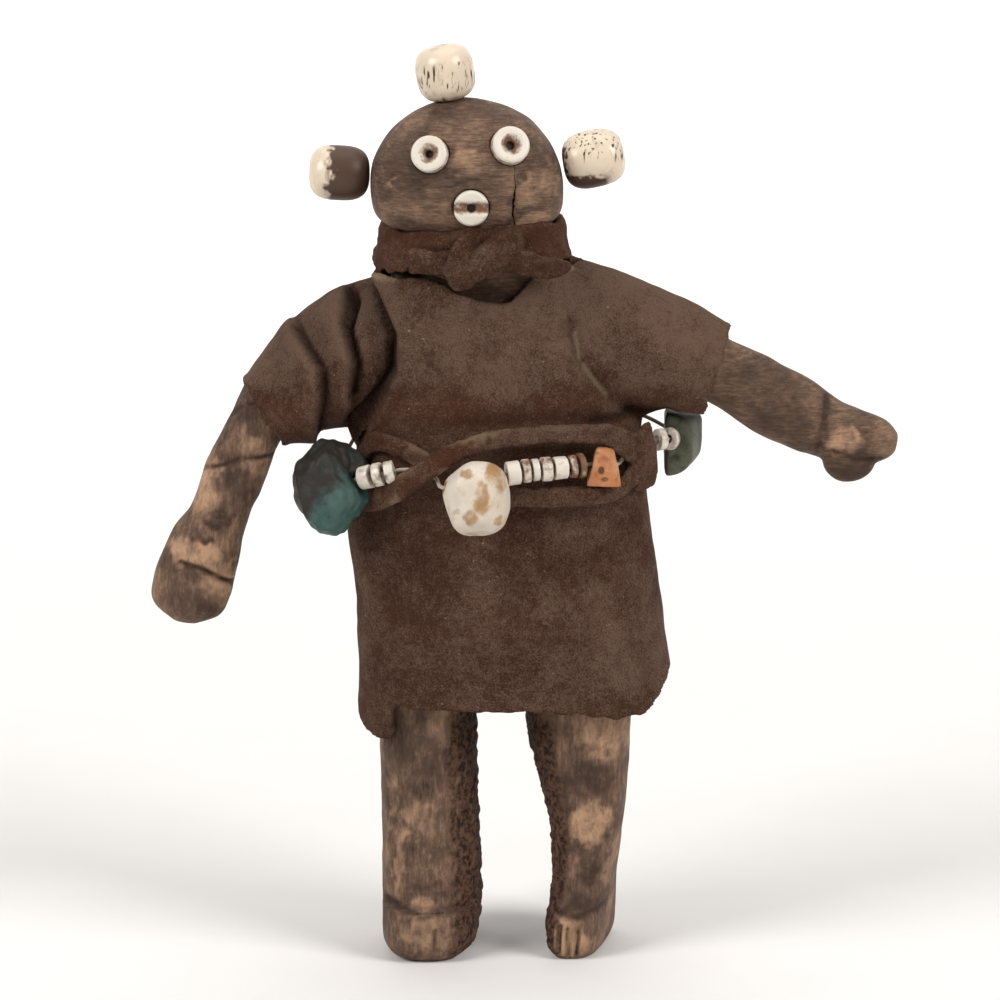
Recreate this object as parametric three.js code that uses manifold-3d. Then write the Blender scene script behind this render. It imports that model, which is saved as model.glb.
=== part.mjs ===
// A small doll carved from antler and dressed in hide: a tunic, a knotted neck scarf and a slit belt.
// Bone barrel beads make the topknot and ears, shell discs the eyes and mouth.
// A strand of stones and disc beads hangs round the waist.
// Millimetres, +Z up. The doll faces -Y and stands on the plane Z = 0.
import * as THREE from 'three';
import { mergeVertices } from 'three/addons/utils/BufferGeometryUtils.js';
import Module from 'manifold-3d';

const wasm = await Module();
wasm.setup();

// Driving dimensions
const HIDE = 1.2; // thickness of the hide
const GAP = 0.35; // clearance between pieces that touch
const WELD = 1e-4; // vertices closer than this are one vertex
const OVAL = 2.6; // how square a body section is: 2 is an ellipse, more is squarer
const LEG_SQUARE = 2.9; // the same for a leg
const LIMB_SQUARE = 2.2; // the same for an arm or a sleeve

// The head: a round crown over a squarer jaw.
const HEAD = {
  x: -6, y: 0, z: 120, halfWidth: 14.5, halfDepth: 12.3, crown: 13, jaw: 7.2, jawSquare: 3.6, square: 2.4,
};
// Shell discs in the face, each in a shallow socket, and the crack beside the mouth.
const FEATURES = {
  left_eye: { x: -11.4, z: 125.9, radius: 2.75, thick: 1.9, dish: 1.5, hole: 0.45 },
  right_eye: { x: 0.3, z: 127, radius: 2.85, thick: 1.9, dish: 1.6, hole: 0.45 },
  mouth: { x: -5.35, z: 118.3, radius: 2.65, thick: 1.4, dish: 1.1, hole: 0.7 },
};
const SOCKET_DEPTH = 0.5;
const MOUTH_GROOVE = { tall: 1.5, deep: 1, out: 1.35 };
const CRACK = { at: [1.1, -11.8, 119.4], half: [0.32, 2.4, 4.9] };

// Bone barrel beads: the topknot and the ears.
const BARREL_BEADS = {
  top_bead: {
    at: [-9.3, 0, 136.9], axis: [-0.17, 0, 1], halfLength: 3.8, radius: 4.35, endRadius: 2.8, hole: 1.1,
  },
  left_ear_bead: {
    at: [-25.3, 0, 121.8], axis: [-1, 0, 0.05], halfLength: 4.4, radius: 4.15, endRadius: 2.2, hole: 1,
  },
  right_ear_bead: {
    at: [13, 0, 123.9], axis: [1, 0, 0.2], halfLength: 4.5, radius: 4.3, endRadius: 2.2, hole: 1,
  },
};
const BARREL_HOLE_DEPTH = 2;

// Sections of the carved body, from the neck down.
const BODY = [
  { z: 116, x: -5.8, y: 0, wide: 11.5, deep: 9.4 },
  { z: 108, x: -5.4, y: 0.2, wide: 11.9, deep: 9.6 },
  { z: 101, x: -3.6, y: 0.6, wide: 14.8, deep: 10.6 },
  { z: 90, x: -1.4, y: 1, wide: 16.6, deep: 11 },
  { z: 76, x: 0, y: 1.2, wide: 18.2, deep: 11.2 },
  { z: 60, x: -0.3, y: 1.4, wide: 19.4, deep: 11.6 },
  { z: 46, x: -0.2, y: 1.6, wide: 19.5, deep: 11.4 },
];

// Sections of the legs. The slant carries the front of a section sideways, so the inner face shows.
const LEFT_LEG = [
  { z: 52, x: -12.3, y: 1.8, wide: 7.2, deep: 10.6, slant: -0.8 },
  { z: 34, x: -12.2, y: 2, wide: 7.3, deep: 10.4, slant: -0.8 },
  { z: 12, x: -11.8, y: 2.2, wide: 7.4, deep: 10.2, slant: -0.8 },
  { z: 8, x: -11.7, y: 1.6, wide: 7.5, deep: 11, slant: -0.8 },
  { z: 3.4, x: -11.8, y: 1.6, wide: 7.2, deep: 11, slant: -0.8 },
  { z: 1.2, x: -11.9, y: 1.6, wide: 6.4, deep: 10.5, slant: -0.6 },
  { z: 0, x: -11.9, y: 1.8, wide: 5, deep: 9.2, slant: -0.4 },
];
const RIGHT_LEG = [
  { z: 52, x: 10.4, y: 1.8, wide: 8.7, deep: 10.6, slant: 0.8 },
  { z: 34, x: 11.2, y: 2, wide: 7.7, deep: 10.2, slant: 0.8 },
  { z: 20, x: 12.3, y: 2.4, wide: 5.6, deep: 9.6, slant: 0 },
  { z: 11, x: 12.2, y: 2.8, wide: 4.8, deep: 9.2, slant: -1.2 },
  { z: 6, x: 11.8, y: 2.4, wide: 4.7, deep: 10, slant: -1.8 },
  { z: 1.6, x: 11.6, y: 2.4, wide: 4.3, deep: 9.9, slant: -2 },
  { z: 0, x: 11.6, y: 2.6, wide: 3.4, deep: 8.8, slant: -1.8 },
];

// Sections along the arms, from the body to the fingertips.
const LEFT_ARM = [
  { at: [-14, 1, 97.5], wide: 5.4, deep: 5.6 },
  { at: [-27, 0.4, 95], wide: 5, deep: 5.2 },
  { at: [-33.4, 0, 90.8], wide: 4.5, deep: 5 },
  { at: [-37.2, -0.6, 85.4], wide: 4.25, deep: 4.8 },
  { at: [-41.1, -1.2, 76.8], wide: 4.7, deep: 4.7 },
  { at: [-44.2, -1.8, 68.6], wide: 4.5, deep: 4.4 },
  { at: [-46.4, -2.2, 64], wide: 5.7, deep: 4.6 },
  { at: [-48.2, -2.6, 58.4], wide: 6, deep: 4.6 },
  { at: [-49, -2.8, 55], wide: 5, deep: 3.7 },
  { at: [-49.3, -2.8, 53.2], wide: 2, deep: 1.6 },
];
const RIGHT_ARM = [
  { at: [9, 1, 97], wide: 5.2, deep: 5.4 },
  { at: [24, 0.4, 94.8], wide: 5.1, deep: 5.2 },
  { at: [32.4, 0, 91.4], wide: 5.1, deep: 5 },
  { at: [41.2, -0.6, 86.5], wide: 5.5, deep: 5 },
  { at: [48.2, -1, 83], wide: 4.8, deep: 4.6 },
  { at: [53, -1.2, 81.6], wide: 4, deep: 4.2 },
  { at: [57.4, -1.4, 80.8], wide: 3, deep: 3.4 },
  { at: [59.3, -1.4, 80.4], wide: 1.4, deep: 1.6 },
];
const THUMB = { at: [52, -2.2, 78], half: [3.9, 3.4, 3.2] };

// Sections of the tunic's outside, from the neckline down.
const TUNIC = [
  { z: 112, x: -4.8, y: 0.4, wide: 13.8, deep: 11.6 },
  { z: 108, x: -4.6, y: 0.5, wide: 14.4, deep: 12 },
  { z: 104.5, x: -3.8, y: 0.6, wide: 16.2, deep: 12.8 },
  { z: 98, x: -2.2, y: 0.8, wide: 18.8, deep: 13.4 },
  { z: 88, x: -0.8, y: 1, wide: 20, deep: 13.8 },
  { z: 78, x: 0, y: 1.2, wide: 21, deep: 13.6 },
  { z: 68, x: -1, y: 1.3, wide: 23.2, deep: 14.4 },
  { z: 54, x: 0, y: 1.5, wide: 23.2, deep: 14.8 },
  { z: 34, x: 1.4, y: 1.6, wide: 23.8, deep: 15.2 },
];
const NECKLINE = { height: 107.8, lean: 0.6, scoop: 4, scoopAngle: 0.08, scoopSpread: 0.32 };
const HEM = {
  height: 41, flap: 5.4, flapAngle: -1.08, flapSpread: 0.16, rise: 2.6, riseAngle: 1.5, riseSpread: 0.5,
};

// Sections along the sleeves. Pleats are dips that run along the sleeve, each at one angle round it.
const LEFT_SLEEVE = {
  sections: [
    { at: [-10, 1, 95.4], wide: 11.8, deep: 10.6 },
    { at: [-20.5, 0.6, 93.8], wide: 11.6, deep: 10.4 },
    { at: [-28.6, 0.2, 90.2], wide: 9.4, deep: 9.4 },
    { at: [-33.4, -0.2, 87.4], wide: 7.3, deep: 8 },
    { at: [-37, -0.4, 85.2], wide: 6, deep: 6.6 },
  ],
  pleats: [{ angle: -0.55, depth: 1.3, spread: 0.24 }, { angle: 0.5, depth: 1.1, spread: 0.24 }],
};
const RIGHT_SLEEVE = {
  sections: [
    { at: [7, 1, 97.2], wide: 12, deep: 10.4 },
    { at: [17, 0.6, 95.2], wide: 10.8, deep: 10 },
    { at: [25, 0.2, 93.8], wide: 8.8, deep: 8.9 },
    { at: [31.9, 0, 91.7], wide: 6.75, deep: 7 },
  ],
  pleats: [{ angle: 0.7, depth: 0.5, spread: 0.3 }],
};

// The neck scarf: a band with a ragged lower edge round the neck, and a knot, two tails and a lobe in front.
const SCARF_BAND = {
  x: -5.1, y: 0.2, top: 113.2, bottom: 108.4, halfWidth: 13.5, halfDepth: 11, thick: 1.3,
  flare: 0.9, lean: 0.5, ragged: 0.6,
};
const KNOT = { at: [-2.6, -13.8, 112], half: [3.4, 2.4, 3] };
const SCARF_STRIPS = {
  leftTail: {
    route: [[-2, -14, 111.6], [-7.6, -13.6, 110.9], [-14.3, -11.4, 110.8]],
    wide: [3.6, 4, 4.1],
    thick: 1.5,
  },
  rightTail: {
    route: [[-2, -14.2, 111.6], [3.4, -14, 110.4], [9.2, -12, 109.8]],
    wide: [3.6, 3.6, 2.2],
    thick: 1.5,
  },
  lobe: {
    route: [[-4.4, -14.2, 112], [-5.4, -14.8, 109.4], [-5.6, -14.4, 106.8]],
    wide: [4, 4.6, 3.4],
    thick: 1.6,
  },
};

// The belt: a band round the back, slit in front into two strands that cross and meet in a ragged flap.
// Angles run round the waist from 0 in front, positive to the doll's +X side. Lifts are off the tunic.
const BELT_BAND = {
  angles: [0.98, 2, 3.14, 4.2, 5.02],
  heights: [77, 77, 77.4, 77.4, 77.2],
  widths: [5.6, 6.6, 8, 8.4, 8.6],
  lifts: [1.1, 1.1, 1.1, 1.1, 1.1],
};
const OVER_STRAND = {
  angles: [-1.4, -1.04, -0.68, -0.39, -0.16, 0.06, 0.36, 0.62, 0.84, 1.06],
  heights: [74.6, 72.8, 74.7, 79.2, 82.8, 84.4, 84.8, 84.4, 82.6, 80],
  widths: [4, 3, 2.6, 2.5, 2.4, 2.3, 2.3, 2.6, 3.6, 4.4],
  lifts: [1.1, 1.2, 3.2, 4.9, 3.8, 2.8, 3, 3.2, 3, 2.8],
};
const UNDER_STRAND = {
  angles: [-1.4, -1.08, -0.8, -0.52, -0.24, 0.06, 0.36, 0.62, 0.86, 1.1],
  heights: [79.4, 81.8, 81.8, 80.2, 76.8, 75, 75, 75.2, 77.2, 77.6],
  widths: [4, 3, 3, 3, 3.2, 3.2, 3, 2.6, 3.2, 4],
  lifts: [1.1, 1.1, 1.1, 1.1, 1.6, 2.4, 2.8, 3, 2.4, 1.2],
};
const BELT_FLAP = {
  angles: [0.84, 0.93, 1.02, 1.11, 1.18],
  heights: [79.6, 79.4, 80, 80.6, 81],
  widths: [4, 6, 7.6, 9, 9.4],
  lifts: [2.8, 2.8, 2.8, 2.9, 3],
};

// The bead strand: its route round the waist, as angle, lift and height.
const STRAND_ROUTE = [
  [-1.16, 6.8, 75.6], [-0.96, 5.6, 76.8], [-0.76, 4.8, 78], [-0.6, 3.4, 78.8], [-0.47, 2.6, 78.6],
  [-0.36, 3, 77.8], [-0.24, 7, 77.2], [0, 5, 79], [0.26, 3.6, 79.6], [0.5, 3, 79.8], [0.68, 2.4, 79.2],
  [0.92, 1.2, 80.4], [1.08, 1.2, 81.2], [1.2, 1.9, 81.6], [1.38, 4.4, 81.6], [1.64, 5.8, 80.6],
  [2, 2.6, 82.6], [2.4, 1.4, 83.2], [3.1, 1.2, 83.2], [3.7, 2.6, 82.6], [4.3, 2.7, 80.6], [4.75, 4, 77.6],
];
const THREAD_RADIUS = 0.3;
const BORE_RADIUS = 0.75;
const DISC_RADIUS = 1.75;
const DISC_HOLE = 0.7;
// Runs of disc beads: the row of the route where a run starts, how far apart its beads are on the bend
// there, and the thickness of each bead.
const DISC_RUNS = {
  left: { from: 1.34, apart: 0.45, thicks: [1.8, 1.3, 1.4] },
  middle: { from: 7, apart: 0.4, thicks: [2, 1.1, 1, 1.5, 2, 1, 0.9] },
  right: { from: 13.45, apart: 1, thicks: [1.2, 1] },
};

// Drilled stones on the strand: centre, half sizes, swellings toward directions, and how finely cut.
const STONES = {
  blue_green_stone: {
    at: [-26.2, -11.4, 75.6],
    half: [5.3, 4.4, 7],
    swells: [
      { toward: [-1, 0, -0.3], by: 0.06 },
      { toward: [1, -0.2, -0.5], by: 0.12 },
      { toward: [1, -0.4, 0.45], by: -0.28 },
    ],
    detail: 3,
  },
  pale_stone: {
    at: [-4.5, -20.2, 75.9],
    half: [5, 3.6, 6.4],
    swells: [{ toward: [-0.6, 0, -1], by: 0.12 }, { toward: [0.3, 0, 1], by: 0.1 }],
    detail: 3,
  },
  green_stone: {
    at: [26.4, 0.6, 80.3],
    half: [2.7, 3.4, 4.4],
    swells: [{ toward: [0.4, 0, 1], by: 0.1 }, { toward: [0.4, -0.4, -1], by: 0.1 }],
    detail: 2,
  },
  orange_shell: {
    at: [14.4, -14.3, 79.4],
    half: [2.1, 1.5, 2.8],
    swells: [{ toward: [1, 0, 0], by: 0.08 }],
    detail: 2,
  },
};
const SWELL_FOCUS = 3; // how narrowly a swelling keeps to its direction

// Solids toolkit

// A closed geometry as a solid that can be joined and cut.
function solidOf(geometry) {
  const bare = new THREE.BufferGeometry();
  bare.setAttribute('position', geometry.getAttribute('position'));
  bare.setIndex(geometry.index);
  const welded = mergeVertices(bare, WELD);
  return new wasm.Manifold(new wasm.Mesh({
    numProp: 3,
    vertProperties: new Float32Array(welded.getAttribute('position').array),
    triVerts: new Uint32Array(welded.index.array),
  }));
}

// A solid back as a geometry.
function geometryOf(solid) {
  const { vertProperties, triVerts, numProp } = solid.getMesh();
  const geometry = new THREE.BufferGeometry();
  geometry.setAttribute('position', new THREE.BufferAttribute(new Float32Array(vertProperties), numProp));
  geometry.setIndex(new THREE.BufferAttribute(new Uint32Array(triVerts), 1));
  return geometry;
}

// A geometry with each of its points moved by the place function.
function moulded(geometry, place) {
  const position = geometry.getAttribute('position');
  const point = new THREE.Vector3();
  for (let i = 0; i < position.count; i += 1) {
    point.fromBufferAttribute(position, i);
    place(point);
    position.setXYZ(i, point.x, point.y, point.z);
  }
  return geometry;
}

// The sine or cosine of a superellipse: square 2 gives an ellipse, more a squarer outline.
function squared(value, square) {
  const size = Math.abs(value);
  return size < 1e-9 ? 0 : Math.sign(value) * size ** (2 / square);
}

// A soft bump of height 1 at an angle, as wide as its spread.
function bump(angle, centre, spread) {
  const away = Math.atan2(Math.sin(angle - centre), Math.cos(angle - centre));
  return Math.exp(-((away / spread) ** 2));
}

// A smooth curve through numbers spaced evenly from t = 0 to t = 1.
function numberCurve(values) {
  const points = values.map((value) => new THREE.Vector3(value, 0, 0));
  const curve = new THREE.CatmullRomCurve3(points, false, 'catmullrom', 0.5);
  return (t) => curve.getPoint(t).x;
}

// The row of a table of sections at a height, blended between the rows on either side of it.
function rowAt(rows, z) {
  let i = 0;
  while (i < rows.length - 2 && z < rows[i + 1].z) {
    i += 1;
  }
  const upper = rows[i];
  const lower = rows[i + 1];
  const t = THREE.MathUtils.clamp((upper.z - z) / (upper.z - lower.z), 0, 1);
  const row = {};
  for (const key of Object.keys(upper)) {
    row[key] = THREE.MathUtils.lerp(upper[key], lower[key], t);
  }
  return row;
}

// A closed tube. ringAt gives, for a share t of its length and an angle round it,
// the ring's centre, its half width and half depth as vectors, and how square it is.
function lofted(sides, steps, ringAt) {
  return moulded(new THREE.CylinderGeometry(1, 1, 1, sides, steps), (p) => {
    const reach = Math.hypot(p.x, p.z);
    const angle = Math.atan2(p.x, p.z);
    const ring = ringAt(p.y + 0.5, angle);
    p.copy(ring.centre);
    p.addScaledVector(ring.across, reach * squared(Math.sin(angle), ring.square));
    p.addScaledVector(ring.front, reach * squared(Math.cos(angle), ring.square));
  });
}

// A standing tube through a table of sections, between a bottom and a top edge that may rise and fall.
function standing(rows, { sides, steps, top, bottom, grow = 0, square = OVAL }) {
  return lofted(sides, steps, (t, angle) => {
    const z = THREE.MathUtils.lerp(bottom(angle), top(angle), t);
    const row = rowAt(rows, z);
    return {
      centre: new THREE.Vector3(row.x, row.y, z),
      across: new THREE.Vector3(row.wide + grow, 0, 0),
      front: new THREE.Vector3(row.slant ?? 0, -row.deep - grow, 0),
      square,
    };
  });
}

// A tube along a path of sections, its depth from front to back. It runs on past its end by the overrun.
function limb(sections, { sides, steps, grow = 0, overrun = 0, pleats = [] }) {
  const centres = sections.map((section) => new THREE.Vector3(...section.at));
  const path = new THREE.CatmullRomCurve3(centres);
  const wideAt = numberCurve(sections.map((section) => section.wide));
  const deepAt = numberCurve(sections.map((section) => section.deep));
  return lofted(sides, steps, (t, angle) => {
    const along = path.getTangent(t);
    const front = new THREE.Vector3(0, -1, 0).projectOnPlane(along).normalize();
    const across = along.clone().cross(front);
    const dips = pleats.map((pleat) => pleat.depth * bump(angle, pleat.angle, pleat.spread));
    const dip = dips.reduce((sum, depth) => sum + depth, 0);
    const centre = path.getPoint(t);
    if (t === 1) {
      centre.addScaledVector(along, overrun);
    }
    return {
      centre,
      across: across.multiplyScalar(wideAt(t) + grow - dip),
      front: front.multiplyScalar(deepAt(t) + grow - dip),
      square: LIMB_SQUARE,
    };
  });
}

// A ball stretched to half sizes and moved to a centre.
function lump({ at, half }, detail) {
  const ball = new THREE.SphereGeometry(1, detail, Math.round(detail * 0.6));
  return ball.scale(...half).translate(...at);
}

// Head and carved figure

// How far out the head reaches at a share of its height: the crown is round, the jaw squarer.
function headReach(rise) {
  const square = rise > 0 ? 2 : HEAD.jawSquare;
  return Math.max(0, 1 - Math.abs(rise) ** square) ** (1 / square);
}

// The Y of the face at a place on it.
function faceAt(x, z) {
  const rise = (z - HEAD.z) / (z > HEAD.z ? HEAD.crown : HEAD.jaw);
  const reach = headReach(rise);
  const side = Math.abs((x - HEAD.x) / (HEAD.halfWidth * reach));
  return HEAD.y - HEAD.halfDepth * reach * (1 - side ** HEAD.square) ** (1 / HEAD.square);
}

// The direction out of the face at a place on it, turned part of the way to straight ahead.
function facingAt(x, z) {
  const step = 0.2;
  const straightened = 0.35;
  const ahead = new THREE.Vector3(0, -1, 0);
  const slopeX = (faceAt(x + step, z) - faceAt(x - step, z)) / (2 * step);
  const slopeZ = (faceAt(x, z + step) - faceAt(x, z - step)) / (2 * step);
  return new THREE.Vector3(slopeX, -1, slopeZ).normalize().lerp(ahead, straightened).normalize();
}

// A geometry made round its own +Y axis, turned to face a direction and moved to a place.
function aimed(geometry, at, facing) {
  const turn = new THREE.Quaternion().setFromUnitVectors(new THREE.Vector3(0, 1, 0), facing);
  return geometry.applyQuaternion(turn).translate(at.x, at.y, at.z);
}

// The socket a shell disc sits in, cut well past the face.
function socketFor({ x, z, radius }) {
  const facing = facingAt(x, z);
  const reach = 4;
  const socket = new THREE.CylinderGeometry(radius + GAP, radius + GAP, reach, 12);
  const seat = new THREE.Vector3(x, faceAt(x, z), z).addScaledVector(facing, reach / 2 - SOCKET_DEPTH);
  return solidOf(aimed(socket, seat, facing));
}

function headSolid() {
  return solidOf(moulded(new THREE.SphereGeometry(1, 20, 12), (p) => {
    const angle = Math.atan2(p.x, p.z);
    const reach = headReach(p.y);
    p.set(
      HEAD.x + HEAD.halfWidth * reach * squared(Math.sin(angle), HEAD.square),
      HEAD.y - HEAD.halfDepth * reach * squared(Math.cos(angle), HEAD.square),
      HEAD.z + (p.y > 0 ? HEAD.crown : HEAD.jaw) * p.y,
    );
  }));
}

function bodySolid(grow) {
  const top = BODY[0].z;
  const bottom = BODY[BODY.length - 1].z;
  return solidOf(standing(BODY, { sides: 18, steps: 5, top: () => top, bottom: () => bottom, grow }));
}

function legSolid(rows) {
  const heights = numberCurve(rows.map((row) => row.z).reverse());
  return solidOf(lofted(14, 8, (t) => {
    const row = rowAt(rows, heights(t));
    return {
      centre: new THREE.Vector3(row.x, row.y, row.z),
      across: new THREE.Vector3(row.wide, 0, 0),
      front: new THREE.Vector3(row.slant, -row.deep, 0),
      square: LEG_SQUARE,
    };
  }));
}

function carvedFigure() {
  let figure = headSolid().add(bodySolid(0)).add(legSolid(LEFT_LEG)).add(legSolid(RIGHT_LEG));
  for (const feature of Object.values(FEATURES)) {
    figure = figure.subtract(socketFor(feature));
  }
  return figure.subtract(solidOf(lump(CRACK, 8)));
}

// Arms: each runs into the tunic and is cut to butt against the body.
function leftArm(grow) {
  return solidOf(limb(LEFT_ARM, { sides: 12, steps: 14, grow })).subtract(bodySolid(GAP));
}

function rightArm(grow) {
  const arm = solidOf(limb(RIGHT_ARM, { sides: 12, steps: 11, grow }));
  return arm.add(solidOf(lump(THUMB, 10))).subtract(bodySolid(GAP));
}

// Tunic: the joined outsides of body and sleeves, less the same shapes one hide thickness smaller.
function neckEdge(angle) {
  const { height, lean, scoop, scoopAngle, scoopSpread } = NECKLINE;
  return height + lean * Math.sin(angle) - scoop * bump(angle, scoopAngle, scoopSpread);
}

function hemEdge(angle) {
  const flap = HEM.flap * bump(angle, HEM.flapAngle, HEM.flapSpread);
  const rise = HEM.rise * bump(angle, HEM.riseAngle, HEM.riseSpread);
  return HEM.height - flap + rise;
}

function sleeveShape({ sections, pleats }, grow, past) {
  return solidOf(limb(sections, { sides: 14, steps: sections.length, grow, overrun: past, pleats }));
}

function tunicShape(grow, past) {
  const top = (angle) => neckEdge(angle) + past;
  const bottom = (angle) => hemEdge(angle) - past;
  const body = solidOf(standing(TUNIC, { sides: 26, steps: 9, top, bottom, grow }));
  return body.add(sleeveShape(LEFT_SLEEVE, grow, past)).add(sleeveShape(RIGHT_SLEEVE, grow, past));
}

function tunic() {
  const pastTheEdges = 4;
  const garment = tunicShape(0, 0).subtract(tunicShape(-HIDE, pastTheEdges));
  return garment.subtract(leftArm(GAP)).subtract(rightArm(GAP)).subtract(scarfRoom());
}

// A closed strip of hide. placeAt takes the share along it, then the shares across and through it, -1 to 1.
function strip(steps, placeAt) {
  const corner = Math.SQRT2;
  const bar = new THREE.CylinderGeometry(corner, corner, 1, 4, steps, false, Math.PI / 4);
  return moulded(bar, (p) => placeAt(p.y + 0.5, p.x, p.z, p));
}

// A closed hoop. placeAt takes the angle round it, and the shares through it and up it from -1 to 1.
function hoop(sides, steps, placeAt) {
  const tube = 0.25;
  const turn = Math.PI / sides;
  return moulded(new THREE.TorusGeometry(1, tube, sides, steps), (p) => {
    const out = (Math.hypot(p.x, p.y) - 1) / tube;
    const up = p.z / tube;
    const round = Math.atan2(p.y, p.x);
    const through = out * Math.cos(turn) - up * Math.sin(turn);
    const rise = out * Math.sin(turn) + up * Math.cos(turn);
    placeAt(round, through, rise, p);
  });
}

// Neck scarf
function scarfBand() {
  const corner = Math.SQRT2;
  return solidOf(hoop(4, 22, (round, out, up, p) => {
    const low = (1 - up * corner) / 2;
    const angle = round + Math.PI / 2;
    const wave = 0.6 * Math.sin(7 * angle) + 0.4 * Math.sin(11 * angle + 1);
    const bottom = SCARF_BAND.bottom + SCARF_BAND.ragged * wave;
    const swell = (SCARF_BAND.thick / 2) * out * corner + SCARF_BAND.flare * low;
    p.set(
      SCARF_BAND.x + (SCARF_BAND.halfWidth + swell) * squared(Math.cos(round), OVAL),
      SCARF_BAND.y + (SCARF_BAND.halfDepth + swell) * squared(Math.sin(round), OVAL),
      THREE.MathUtils.lerp(SCARF_BAND.top, bottom, low) + SCARF_BAND.lean * Math.cos(round),
    );
  }));
}

function scarfStrip({ route, wide, thick }) {
  const path = new THREE.CatmullRomCurve3(route.map((point) => new THREE.Vector3(...point)));
  const wideAt = numberCurve(wide);
  return solidOf(strip(5, (t, across, through, p) => {
    const along = path.getTangent(t);
    const front = new THREE.Vector3(0, -1, 0).projectOnPlane(along).normalize();
    const side = along.clone().cross(front);
    p.copy(path.getPoint(t));
    p.addScaledVector(side, across * wideAt(t) / 2);
    p.addScaledVector(front, through * thick / 2);
  }));
}

// The room the scarf band takes up above the tunic's shoulders.
function scarfRoom() {
  const reach = SCARF_BAND.flare + SCARF_BAND.thick / 2 + GAP;
  const wide = SCARF_BAND.halfWidth + reach;
  const deep = SCARF_BAND.halfDepth + reach;
  const room = { x: SCARF_BAND.x, y: SCARF_BAND.y, wide, deep };
  const rows = [{ z: SCARF_BAND.top, ...room }, { z: SCARF_BAND.bottom, ...room }];
  const lowest = SCARF_BAND.bottom - SCARF_BAND.ragged - GAP;
  const bottom = (angle) => lowest + SCARF_BAND.lean * Math.sin(angle);
  return solidOf(standing(rows, { sides: 20, steps: 1, top: () => SCARF_BAND.top, bottom }));
}

function neckScarf() {
  let scarf = scarfBand().add(solidOf(lump(KNOT, 10)));
  for (const part of Object.values(SCARF_STRIPS)) {
    scarf = scarf.add(scarfStrip(part));
  }
  return scarf;
}

// A place round the waist: an angle, a lift off the tunic and a height.
function waistPoint(angle, lift, z, p = new THREE.Vector3()) {
  const row = rowAt(TUNIC, z);
  return p.set(
    row.x + (row.wide + lift) * squared(Math.sin(angle), OVAL),
    row.y - (row.deep + lift) * squared(Math.cos(angle), OVAL),
    z,
  );
}

// Belt
function beltStrip({ angles, heights, widths, lifts }, steps) {
  const angleAt = numberCurve(angles);
  const heightAt = numberCurve(heights);
  const widthAt = numberCurve(widths);
  const liftAt = numberCurve(lifts);
  return solidOf(strip(steps, (t, across, through, p) => {
    const lift = liftAt(t) + through * HIDE / 2;
    waistPoint(angleAt(t), lift, heightAt(t) - across * widthAt(t) / 2, p);
  }));
}

function belt() {
  const strands = beltStrip(UNDER_STRAND, 16).add(beltStrip(OVER_STRAND, 16));
  return beltStrip(BELT_BAND, 16).add(strands).add(beltStrip(BELT_FLAP, 5)).subtract(tunicShape(GAP, 0));
}

// Bead strand
const ROW_STEPS = 50;
const strandPath = new THREE.CatmullRomCurve3(STRAND_ROUTE.map((row) => waistPoint(...row)), true);
strandPath.arcLengthDivisions = ROW_STEPS * STRAND_ROUTE.length;

// The share of the strand's length at a row of its route.
function strandShare(row) {
  const lengths = strandPath.getLengths();
  return lengths[Math.round(row * ROW_STEPS)] / lengths[lengths.length - 1];
}

function threadSolid(radius) {
  return solidOf(hoop(4, 52, (round, out, up, p) => {
    const t = (round / (2 * Math.PI) + 1) % 1;
    const along = strandPath.getTangent(t);
    const side = new THREE.Vector3(0, 0, 1).cross(along).normalize();
    const rise = along.clone().cross(side);
    p.copy(strandPath.getPoint(t)).addScaledVector(side, -out * radius).addScaledVector(rise, up * radius);
  }));
}

// A pebble: a ball stretched to half sizes, with a few swellings, each toward one direction.
function pebble({ half, swells, detail }) {
  return moulded(new THREE.IcosahedronGeometry(1, detail), (p) => {
    let reach = 1;
    for (const { toward, by } of swells) {
      const facing = p.dot(new THREE.Vector3(...toward).normalize());
      reach += by * Math.exp(SWELL_FOCUS * (facing - 1));
    }
    p.set(p.x * half[0] * reach, p.y * half[1] * reach, p.z * half[2] * reach);
  });
}

function stone(name) {
  const shape = STONES[name];
  return solidOf(pebble(shape).translate(...shape.at)).subtract(threadSolid(BORE_RADIUS));
}

// A ring bead on the strand at a share of its length.
function discBead(share, thick) {
  const half = thick / 2;
  const corners = [[DISC_HOLE, -half], [DISC_RADIUS, -half], [DISC_RADIUS, half], [DISC_HOLE, half]];
  const profile = [...corners, corners[0]];
  const ring = new THREE.LatheGeometry(profile.map(([r, y]) => new THREE.Vector2(r, y)), 8);
  return solidOf(aimed(ring, strandPath.getPointAt(share), strandPath.getTangentAt(share)));
}

// Bone and shell features

// A barrel bead with a blind hole in its outer end.
function barrelBead({ at, axis, halfLength, radius, endRadius, hole }) {
  const steps = 5;
  const profile = [new THREE.Vector2(0, -halfLength)];
  for (let i = 0; i <= steps; i += 1) {
    const along = (2 * i) / steps - 1;
    const bulge = (radius - endRadius) * Math.sqrt(1 - along ** 2);
    profile.push(new THREE.Vector2(endRadius + bulge, along * halfLength));
  }
  profile.push(new THREE.Vector2(hole, halfLength));
  profile.push(new THREE.Vector2(hole, halfLength - BARREL_HOLE_DEPTH));
  profile.push(new THREE.Vector2(0, halfLength - BARREL_HOLE_DEPTH));
  const bead = new THREE.LatheGeometry(profile, 13);
  return solidOf(aimed(bead, new THREE.Vector3(...at), new THREE.Vector3(...axis).normalize()));
}

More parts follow.
